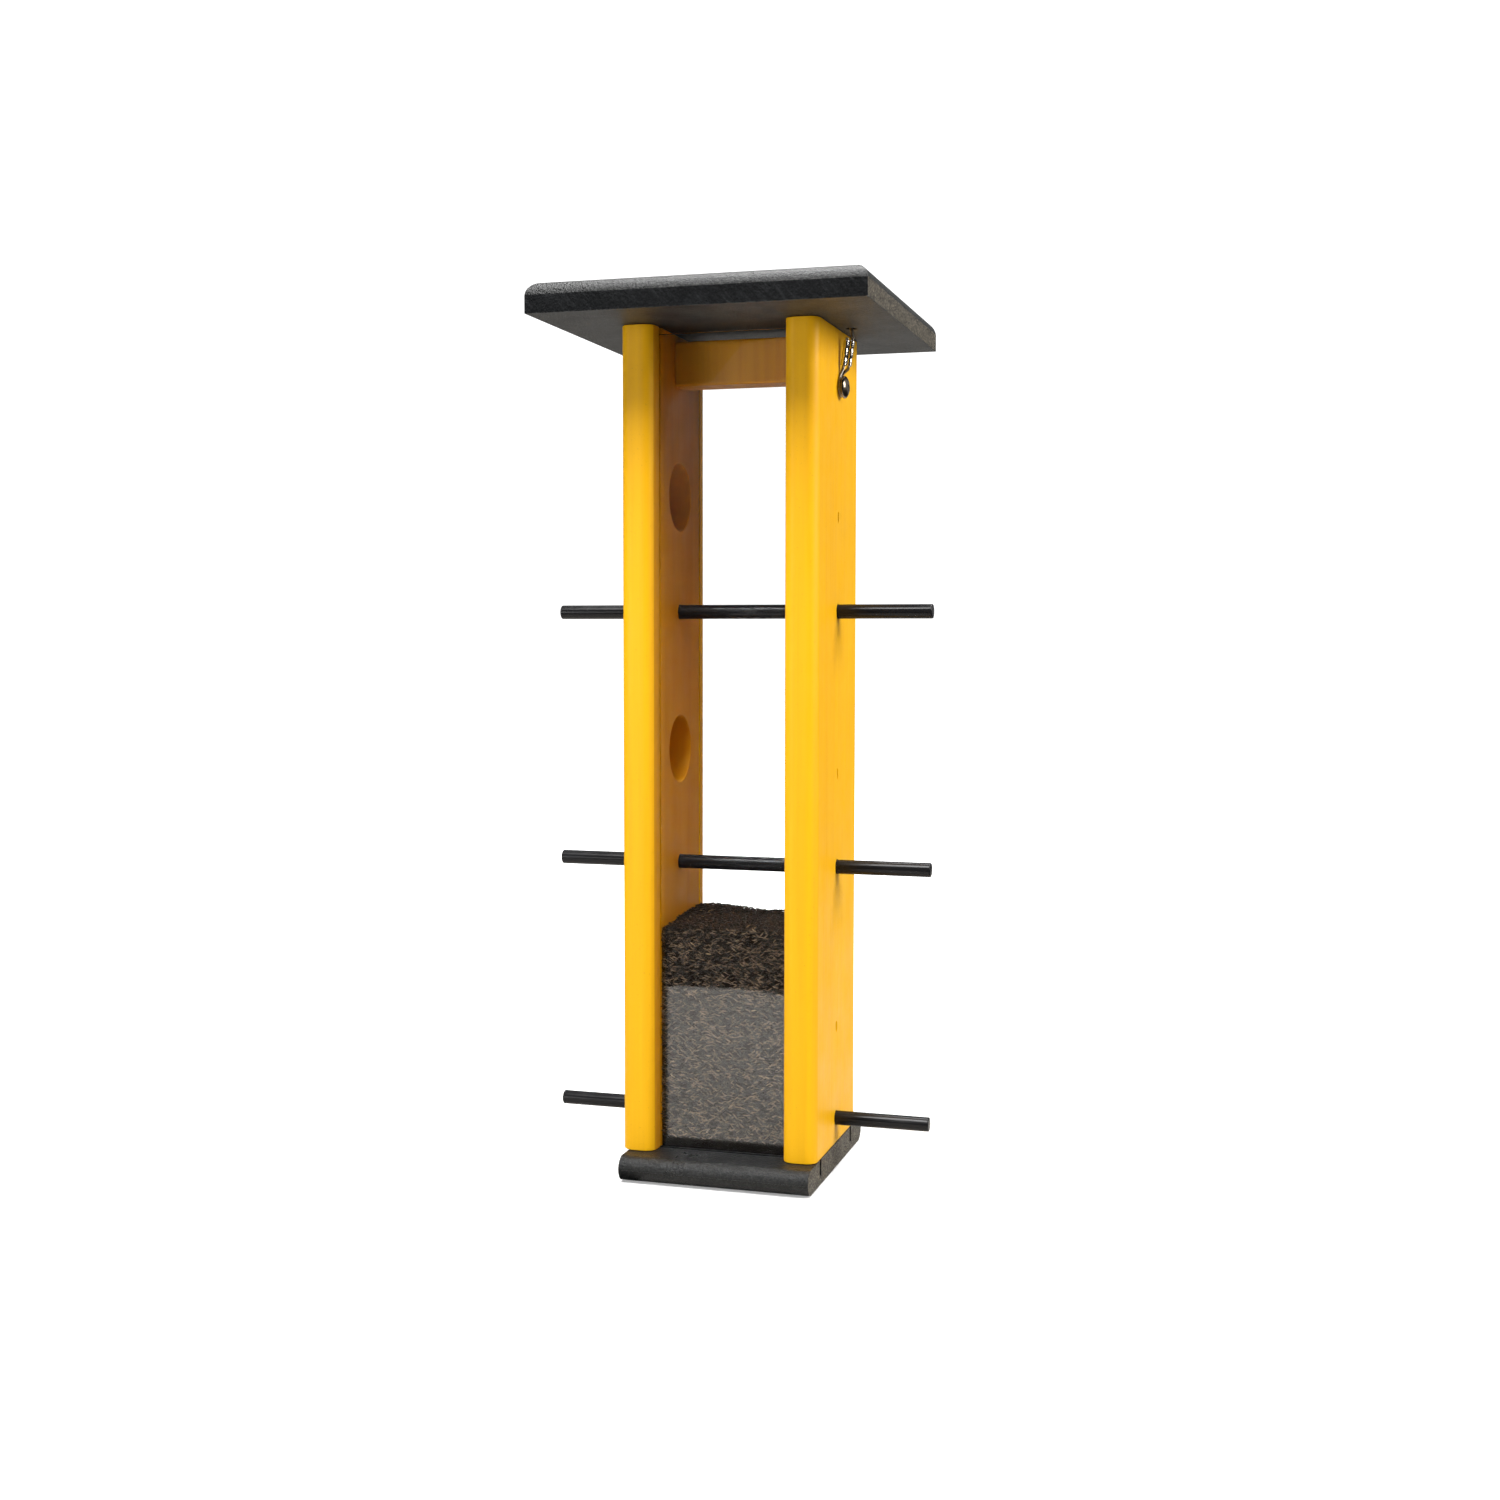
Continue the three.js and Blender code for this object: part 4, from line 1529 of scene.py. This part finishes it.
@dataclass
class CableHardware:
    """Screws, crimped sleeves and the rope's eyes on the outer faces of the boards."""

    finishes: Finishes
    cable: float = CABLE_DIAMETER
    gap: float = 0.3 * MM
    barrel_radius: float = 1.6 * MM
    spread: float = 1.5 * MM
    twist: float = math.radians(60)
    sleeve_length: float = 14 * MM
    sleeve_bottom: float = 447.5 * MM
    head_height: float = 3.2 * MM
    shank_radius: float = 2.2 * MM
    hole_x: float = CABLE_HOLE_X

    def __post_init__(self) -> None:
        """Works out the sleeve's axis on the right side."""
        self.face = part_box("side_board_right")[1].x
        self.roof_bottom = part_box("roof")[0].z
        low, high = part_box("cable_screw_right")
        self.screw_low, self.screw_high = low, high
        self.screw_z = ((low + high) / 2).z
        self.head_radius = (high.z - low.z) / 2
        start_x = self.face + 2 * self.gap + self.barrel_radius + self.spread
        self.start = Vector((start_x, 0, self.sleeve_bottom))
        self.mouth = Vector((self.hole_x, 0, self.roof_bottom))
        self.axis = (self.mouth - self.start).normalized()
        self.offset = Vector((math.sin(self.twist), math.cos(self.twist), 0)) * self.spread
        self.rope = rope_tree()

    def in_barrel(self, distance: float, barrel: int) -> Vector:
        """A point along the sleeve's axis in its outer (1) or inner (-1) barrel."""
        return self.start + self.axis * distance + self.offset * barrel

    def turned_to(self, side: Side) -> Matrix:
        """The turn from the right side to the given one."""
        return Matrix.Rotation(0 if side is Side.RIGHT else math.pi, 4, "Z")

    def screw(self) -> Piece:
        """The domed cross-head screw, its axis along X."""
        under = self.screw_high.x - self.head_height - self.face
        tip = self.face - self.screw_low.x
        r, height, shank = self.head_radius, self.head_height, self.shank_radius
        pitch, thread, rim = 0.95 * MM, 0.4 * MM, 0.4 * MM
        profile = [(0, -tip), (0.5 * MM, -tip + 0.8 * MM)]
        z = -tip + 1.6 * MM
        while z < -0.8 * MM:
            narrow = min(shank - thread, (z + tip) * 0.4)
            profile += [(narrow, z), (min(shank, (z + tip) * 0.5), z + 0.45 * MM)]
            z += pitch
        profile += [(shank, 0), (shank, under), (r - 0.25 * MM, under)]
        profile += [(r, under + 0.12 * MM), (r, under + 0.38 * MM)]
        dome = 12
        for k in range(1, dome):
            angle = math.pi / 2 * k / dome
            profile.append((r * math.cos(angle), under + rim + (height - rim) * math.sin(angle)))
        profile.append((0, under + height))
        piece = turned("screw", profile, along((1, 0, 0), (self.face, 0, self.screw_z)), 48)
        place = Matrix.Translation((self.screw_high.x, 0, self.screw_z))
        face = place @ Matrix.Rotation(-math.pi / 2, 4, "Y")
        spun = face @ Matrix.Rotation(math.radians(28), 4, "Z")
        carve(piece, drive_cutters(2.5 * MM, 2.1 * MM, spun))
        return piece

    def sleeve(self) -> Piece:
        """The double-barrel sleeve with two crimps, its ends open round the rope."""
        r, half = self.barrel_radius, self.spread
        meet = math.degrees(math.acos(min(1.0, half / r * 0.985)))
        outline = arc(half, 0, r, -180 + meet, 180 - meet, 22) + arc(-half, 0, r, meet, 360 - meet, 22)
        side = (self.offset - self.axis * self.offset.dot(self.axis)).normalized()
        across = self.axis.cross(side)
        length, ease, steps = self.sleeve_length, 0.35 * MM, 44
        crimp_depth, crimp_width = 0.26 * MM, 0.85 * MM
        crimps = (length * 0.3, length * 0.68)
        stations = [(0.0, -0.5 * MM), (0.06 * MM, -0.3 * MM)]
        stations += [(ease * 0.5, -0.08 * MM), (ease, 0.0)]
        middle = []
        for k in range(1, steps):
            s = ease + (length - 2 * ease) * k / steps
            dents = sum(math.exp(-(((s - crimp) / crimp_width) ** 2)) for crimp in crimps)
            middle.append((s, -crimp_depth * dents))
        stations += middle + [(length - s, d) for s, d in reversed(stations)]
        rings = []
        for s, grow in stations:
            centre = self.start + self.axis * s
            rings.append([centre + side * x + across * y for x, y in inset(outline, -grow)])
        return loft("sleeve", rings)

    def eye_route(self) -> list[Vector]:
        """The rope's way from the outer barrel round the shank and back into the inner one."""
        plane = self.face + self.gap + self.cable / 2
        ring = self.shank_radius + self.cable / 2 + 1.4 * MM
        above = self.screw_z + self.head_radius + 0.8 * MM
        around = []
        for degrees in (-35, -5, 25, 60, 90, 120, 155, 185, 215):
            angle = math.radians(degrees)
            y, z = ring * math.cos(angle), self.screw_z - ring * math.sin(angle)
            around.append(Vector((plane, y, z)))
        inside, below = 0.6 * MM, -1.2 * MM
        start = [self.in_barrel(inside, 1), self.in_barrel(below, 1)]
        start.append(Vector((plane + 0.1 * MM, 1.5 * MM, above)))
        end = [Vector((plane, -1.4 * MM, above))]
        end += [self.in_barrel(below, -1), self.in_barrel(inside, -1)]
        return start + around + end

    def tail(self) -> list[Vector]:
        """The rope's cut end, just out of the inner barrel's top."""
        return [self.in_barrel(self.sleeve_length + d, -1) for d in (-0.8 * MM, 0.4 * MM, 1.5 * MM)]

    def build(self) -> None:
        """Makes both sides' hardware."""
        for side in Side:
            turn = self.turned_to(side)
            pieces = [
                (self.screw(), "screw", self.finishes.plated, "screw_steel", f"cable_screw_{side.label}"),
                (self.sleeve(), "sleeve", self.finishes.sleeve, "ferrule_metal", f"ferrule_{side.label}"),
            ]
            for piece, label, material, slot, node in pieces:
                piece.name = f"{label}_{side.label}"
                piece.data.transform(turn)
                soften(piece, 40)
                dress(piece, material)
                settle(piece, [node])
            ropes = [
                (self.eye_route(), "rope_eye", [f"cable_eye_{side.label}"]),
                (self.tail(), "rope_tail", []),
            ]
            for route, label, nodes in ropes:
                line = [turn @ p for p in smooth_route(route, 0.35 * MM)]
                name = f"{label}_{side.label}"
                piece = lay_rope(name, line, self.rope, self.cable, self.finishes.rope)
                settle(piece, nodes)


def smooth_route(points: Sequence[Sequence[float]], step: float) -> list[Vector]:
    """A smooth curve through points, in even steps.

    Args:
        points: The points that the curve goes through.
        step: The distance between the points that come back.

    Returns:
        Points along the curve.
    """
    p = [Vector(q) for q in points]
    p = [2 * p[0] - p[1]] + p + [2 * p[-1] - p[-2]]
    fine = [p[1]]
    for i in range(1, len(p) - 2):
        knots = [0.0]
        for a, b in ((i - 1, i), (i, i + 1), (i + 1, i + 2)):
            knots.append(knots[-1] + max((p[b] - p[a]).length, 1e-9) ** 0.5)
        t0, t1, t2, t3 = knots
        pieces = 24
        for k in range(1, pieces + 1):
            t = t1 + (t2 - t1) * k / pieces
            a1 = p[i - 1] * ((t1 - t) / (t1 - t0)) + p[i] * ((t - t0) / (t1 - t0))
            a2 = p[i] * ((t2 - t) / (t2 - t1)) + p[i + 1] * ((t - t1) / (t2 - t1))
            a3 = p[i + 1] * ((t3 - t) / (t3 - t2)) + p[i + 2] * ((t - t2) / (t3 - t2))
            b1 = a1 * ((t2 - t) / (t2 - t0)) + a2 * ((t - t0) / (t2 - t0))
            b2 = a2 * ((t3 - t) / (t3 - t1)) + a3 * ((t - t1) / (t3 - t1))
            fine.append(b1 * ((t2 - t) / (t2 - t1)) + b2 * ((t - t1) / (t2 - t1)))
    lengths = [0.0]
    for a, b in zip(fine, fine[1:]):
        lengths.append(lengths[-1] + (b - a).length)
    count = max(2, round(lengths[-1] / step))
    result, j = [], 0
    for k in range(count + 1):
        target = lengths[-1] * k / count
        while j < len(lengths) - 2 and lengths[j + 1] < target:
            j += 1
        share = (target - lengths[j]) / max(lengths[j + 1] - lengths[j], 1e-12)
        result.append(fine[j].lerp(fine[j + 1], share))
    return result


def lay_rope(
    name: str,
    route: Sequence[Vector],
    tree: GeometryTree,
    diameter: float,
    material: Material,
) -> Piece:
    """Lays wire rope along a route.

    Args:
        name: The piece's name.
        route: Points along its centreline.
        tree: The rope's geometry nodes.
        diameter: The rope's diameter.
        material: Its material.

    Returns:
        The rope.
    """
    mesh = bpy.data.meshes.new(name)
    mesh.from_pydata([tuple(p) for p in route], [(i, i + 1) for i in range(len(route) - 1)], [])
    piece = new_object(name, mesh)
    return tree.run(
        piece, Diameter=diameter, Lay_Length=9.5 * MM, Step=0.4 * MM, Material=material
    )


@dataclass
class HangingCable:
    """The wire rope from one sleeve up through the roof, in a loop on it, and down to the other."""

    finishes: Finishes
    hardware: CableHardware

    def half_route(self) -> list[Point]:
        """The right half's points in millimetres, from the roof's underside to the loop's middle."""
        bottom = self.hardware.roof_bottom / MM
        h = (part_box("roof")[1].z + self.hardware.gap + self.hardware.cable / 2) / MM
        hole = CABLE_HOLE_X / MM
        return [
            (hole, 0, bottom),
            (hole, 0, bottom + 9),
            (62.2, 0.8, h - 1),
            (63.6, 4.2, h + 4.6),
            (66.4, 10.6, h + 6.2),
            (69.8, 19, h + 3.6),
            (73.2, 28.6, h + 0.6),
            (76.4, 39, h),
            (77.8, 50, h),
            (76, 60.5, h),
            (69.6, 69.4, h),
            (59, 75.6, h),
            (45.6, 78.8, h),
            (30.6, 80.2, h),
            (15.4, 80.6, h),
        ]

    def route(self) -> list[Vector]:
        """The whole centreline, from the right sleeve to the left one."""
        right = [Vector(p) * MM for p in self.half_route()]
        middle = Vector((0, 80.7 * MM, right[-1].z))
        leg = [self.hardware.in_barrel(self.hardware.sleeve_length + d, 1) for d in (-0.5 * MM, 2.5 * MM)]
        turn = Matrix.Rotation(math.pi, 4, "Z")
        left = [Vector((-p.x, p.y, p.z)) for p in reversed(right)]
        far_leg = [turn @ p for p in reversed(leg)]
        return smooth_route(leg + right + [middle] + left + far_leg, 0.4 * MM)

    def build(self) -> None:
        """Makes the rope, hides the imported cable legs and bail, and bakes its transform."""
        line = self.route()
        piece = lay_rope("hanging_rope", line, self.hardware.rope, self.hardware.cable, self.finishes.rope)
        leg_top = self.hardware.in_barrel(self.hardware.sleeve_length, 1).z
        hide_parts("cable_leg_left", "cable_leg_right", "cable_bail")
        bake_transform(piece)


def dress_nails(finishes: Finishes) -> None:
    """Gives the rail's hidden nails, which stay as packed, their plated finish."""
    for side in Side:
        for place in ("front", "back"):
            dress(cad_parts[f"rail_nail_{side.label}_{place}"], finishes.plated)


# ---------------------------------------------------------------------------------------- the studio
@dataclass(frozen=True)
class SoftBox:
    """One soft square lamp."""

    name: str
    place: Point
    size: float
    power: float
    tint: Colour = (1.0, 1.0, 1.0)

    def hang(self, target: Point) -> None:
        """Hangs the lamp and aims it.

        Args:
            target: The point that it faces.
        """
        lamp = bpy.data.lights.new(self.name, "AREA")
        lamp.shape = "SQUARE"
        lamp.size = self.size
        lamp.energy = self.power
        lamp.color = self.tint
        holder = bpy.data.objects.new(self.name, lamp)
        holder.matrix_world = along(Vector(self.place) - Vector(target), self.place)
        bpy.context.scene.collection.objects.link(holder)


@dataclass
class Studio:
    """A pale table, soft lamps, a bright surround and the camera."""

    eye: Point = (0.2941, -0.9882, 0.2983)
    turn: float = math.radians(16.33)
    pitch: float = math.radians(-3.51)
    roll: float = math.radians(0.08)
    lens: float = 43.82
    table_front: float = -0.561
    table_bend: float = 0.12
    table_centre: float = -0.168
    table_slant: float = 0.3435
    table_left: tuple[float, float] = (-0.0208, -0.019)
    table_band: tuple[float, float] = (-0.06, -0.05)
    table_edge: float = 0.002
    table_near: tuple[float, float] = (0.15, 0.3)
    table_far: float = 0.9
    table_paint: Colour = (0.86, 0.86, 0.86)
    backdrop: tuple[float, float] = (-0.04, 0.06)
    aim: Point = (0.0, 0.0, 0.25)
    room: float = 0.02
    seen: float = 1.35
    mirrored: float = 0.25
    fill: float = 0.045
    card: float = 0.38
    table_bounce: float = 0.035
    table_mirrored: Colour = (0.54, 0.52, 0.49)
    table_lighting: Colour = (0.26, 0.26, 0.26)
    lamps: tuple[SoftBox, ...] = (
        SoftBox("front high", (-0.2, -0.85, 1.75), 0.9, 49),
        SoftBox("front low", (-1.05, -1.55, 0.35), 0.6, 10),
        SoftBox("overhead", (0.0, 0.25, 1.7), 1.0, 36),
        SoftBox("right", (1.55, -0.05, 0.9), 0.8, 27.5, (1.0, 0.97, 0.92)),
    )

    def build_camera(self) -> None:
        """Places the camera; the picture is square."""
        camera = bpy.data.cameras.new("camera")
        camera.sensor_width = 36
        camera.lens = self.lens
        camera.clip_start = 0.01
        holder = bpy.data.objects.new("camera", camera)
        level_share = math.cos(self.pitch)
        ahead = Vector(
            (
                -math.sin(self.turn) * level_share,
                math.cos(self.turn) * level_share,
                math.sin(self.pitch),
            )
        )
        level = ahead.to_track_quat("-Z", "Y")
        roll = Quaternion(ahead, -self.roll)
        holder.matrix_world = Matrix.Translation(self.eye) @ (roll @ level).to_matrix().to_4x4()
        bpy.context.scene.collection.objects.link(holder)
        bpy.context.scene.camera = holder

    def build_table(self) -> None:
        """A pale table; glossy faces mirror a painted bright region of it, which ends in a bow and has a dark
        band on the left: a painted reflection that only reflected rays see.
        """
        reach = 7.0
        corners = [(-reach, -reach), (reach, -reach), (reach, reach), (-reach, reach)]
        table = from_faces("table", [(x, y, -0.0004) for x, y in corners], [(0, 1, 2, 3)])
        material = bpy.data.materials.new("pale table")
        material.use_nodes = True
        hand = Nodes(material.node_tree)
        shader = material.node_tree.nodes["Principled BSDF"]
        shader.inputs["Roughness"].default_value = 0.9
        shader.inputs["Specular IOR Level"].default_value = 0.1
        path = hand.add("ShaderNodeLightPath")
        away = hand.add("ShaderNodeVectorMath", {"operation": "LENGTH"})
        place = hand.add("ShaderNodeTexCoord").outputs["Object"]
        hand.feed(away, 0, place)
        parts = hand.add("ShaderNodeSeparateXYZ", Vector=place)
        aside = hand.minus(parts.outputs[0], self.table_centre)
        bow = hand.math("DIVIDE", hand.times(aside, aside), 2 * self.table_bend)
        inside = hand.minus(hand.minus(parts.outputs[1], self.table_front), bow)
        across = hand.minus(parts.outputs[0], hand.times(parts.outputs[1], self.table_slant))
        right_of_band = hand.span(across, *self.table_left)
        left_of_band = hand.span(across, *self.table_band, 1.0, 0.0)
        beside = hand.math("MAXIMUM", right_of_band, left_of_band)
        # Reflected rays see a painted bright region ending in a bow, with a dark band on the left: a painted
        # reflection in the front panel over the seed.
        painted_reflection_mask = hand.times(hand.span(inside, -self.table_edge, self.table_edge), beside)
        bounced = hand.math("GREATER_THAN", path.outputs["Diffuse Depth"], 0.5)
        reflected = hand.math("GREATER_THAN", path.outputs["Glossy Depth"], 0.5)
        plain = hand.minus(1.0, hand.math("MAXIMUM", bounced, reflected))
        mirrored = hand.blend(painted_reflection_mask, (0.0, 0.0, 0.0), self.table_mirrored)
        paler = hand.blend(reflected, self.table_paint, mirrored)
        hand.feed(shader, "Base Color", hand.blend(bounced, paler, self.table_lighting))
        near, dim = self.table_near
        whiter = hand.span(away.outputs["Value"], near, self.table_far, dim, self.seen)
        lift = hand.times(whiter, plain)
        strength = hand.plus(lift, hand.times(bounced, self.table_bounce))
        glow = hand.add("ShaderNodeEmission", Color=(1.0, 1.0, 1.0, 1.0), Strength=strength)
        both = hand.add("ShaderNodeAddShader")
        hand.feed(both, 0, shader.outputs[0])
        hand.feed(both, 1, glow.outputs[0])
        hand.feed(material.node_tree.nodes["Material Output"], "Surface", both.outputs[0])
        dress(table, material)

    def build_card(self) -> None:
        """A dim glowing card in front, hidden from the camera, which the front panel mirrors faintly: a
        painted reflection.
        """
        outline = [(-0.57, 0.34), (-0.38, 0.34), (-0.38, 0.725), (-0.455, 0.715), (-0.50, 0.665)]
        outline += [(-0.548, 0.652), (-0.565, 0.632), (-0.57, 0.60)]
        card = from_faces("card", [(x, -1.6, z) for x, z in outline], [tuple(range(len(outline)))])
        material = bpy.data.materials.new("pale card")
        material.use_nodes = True
        hand = Nodes(material.node_tree)
        parts = hand.add("ShaderNodeSeparateXYZ", Vector=hand.add("ShaderNodeTexCoord").outputs["Object"])
        fade = hand.span(parts.outputs[2], 0.36, 0.6, 0.0, self.card)
        glow = hand.add("ShaderNodeEmission", Color=(1.0, 0.93, 0.86, 1.0), Strength=fade)
        hand.feed(material.node_tree.nodes["Material Output"], "Surface", glow.outputs[0])
        dress(card, material)
        card.visible_camera = False
        card.visible_transmission = False

    def build_surround(self) -> None:
        """A white backdrop behind the feeder and a dim room in front of it, with a little even fill."""
        world = bpy.data.worlds.new("surround")
        bpy.context.scene.world = world
        world.use_nodes = True
        hand = Nodes(world.node_tree)
        path = hand.add("ShaderNodeLightPath")
        way = hand.add("ShaderNodeSeparateXYZ", Vector=hand.add("ShaderNodeTexCoord").outputs["Generated"])
        reflected = hand.math("GREATER_THAN", path.outputs["Glossy Depth"], 0.5)
        bounced = hand.math("GREATER_THAN", path.outputs["Diffuse Depth"], 0.5)
        backdrop = hand.span(way.outputs[1], *self.backdrop, self.room, self.mirrored)
        plain = hand.times(hand.minus(1.0, reflected), self.seen)
        sharp = hand.plus(plain, hand.times(reflected, backdrop))
        unlit = hand.times(sharp, hand.minus(1.0, bounced))
        strength = hand.plus(unlit, hand.times(bounced, self.fill))
        background = world.node_tree.nodes["Background"]
        background.inputs["Color"].default_value = (1.0, 1.0, 1.0, 1.0)
        hand.feed(background, "Strength", strength)

    def build(self) -> None:
        """Sets up everything round the feeder."""
        scene = bpy.context.scene
        scene.view_settings.view_transform = "Standard"
        scene.view_settings.look = "None"
        self.build_camera()
        self.build_table()
        self.build_card()
        self.build_surround()
        for lamp in self.lamps:
            lamp.hang(self.aim)


def main() -> None:
    """Builds the studio and the feeder, piece by piece."""
    logging.basicConfig(level=logging.INFO, format="%(name)s %(message)s")
    Studio().build()
    finishes = Finishes()
    hardware = CableHardware(finishes)
    HangingCable(finishes, hardware).build()
    hardware.build()
    SideBoards(finishes).build()
    TopRail(finishes).build()
    BasePlank(finishes).build()
    ClearPanels(finishes).build()
    Perches(finishes).build()
    SeedBed(finishes).build()
    RoofPlank(finishes).build()
    dress_nails(finishes)


if __name__ == "__main__":
    main()
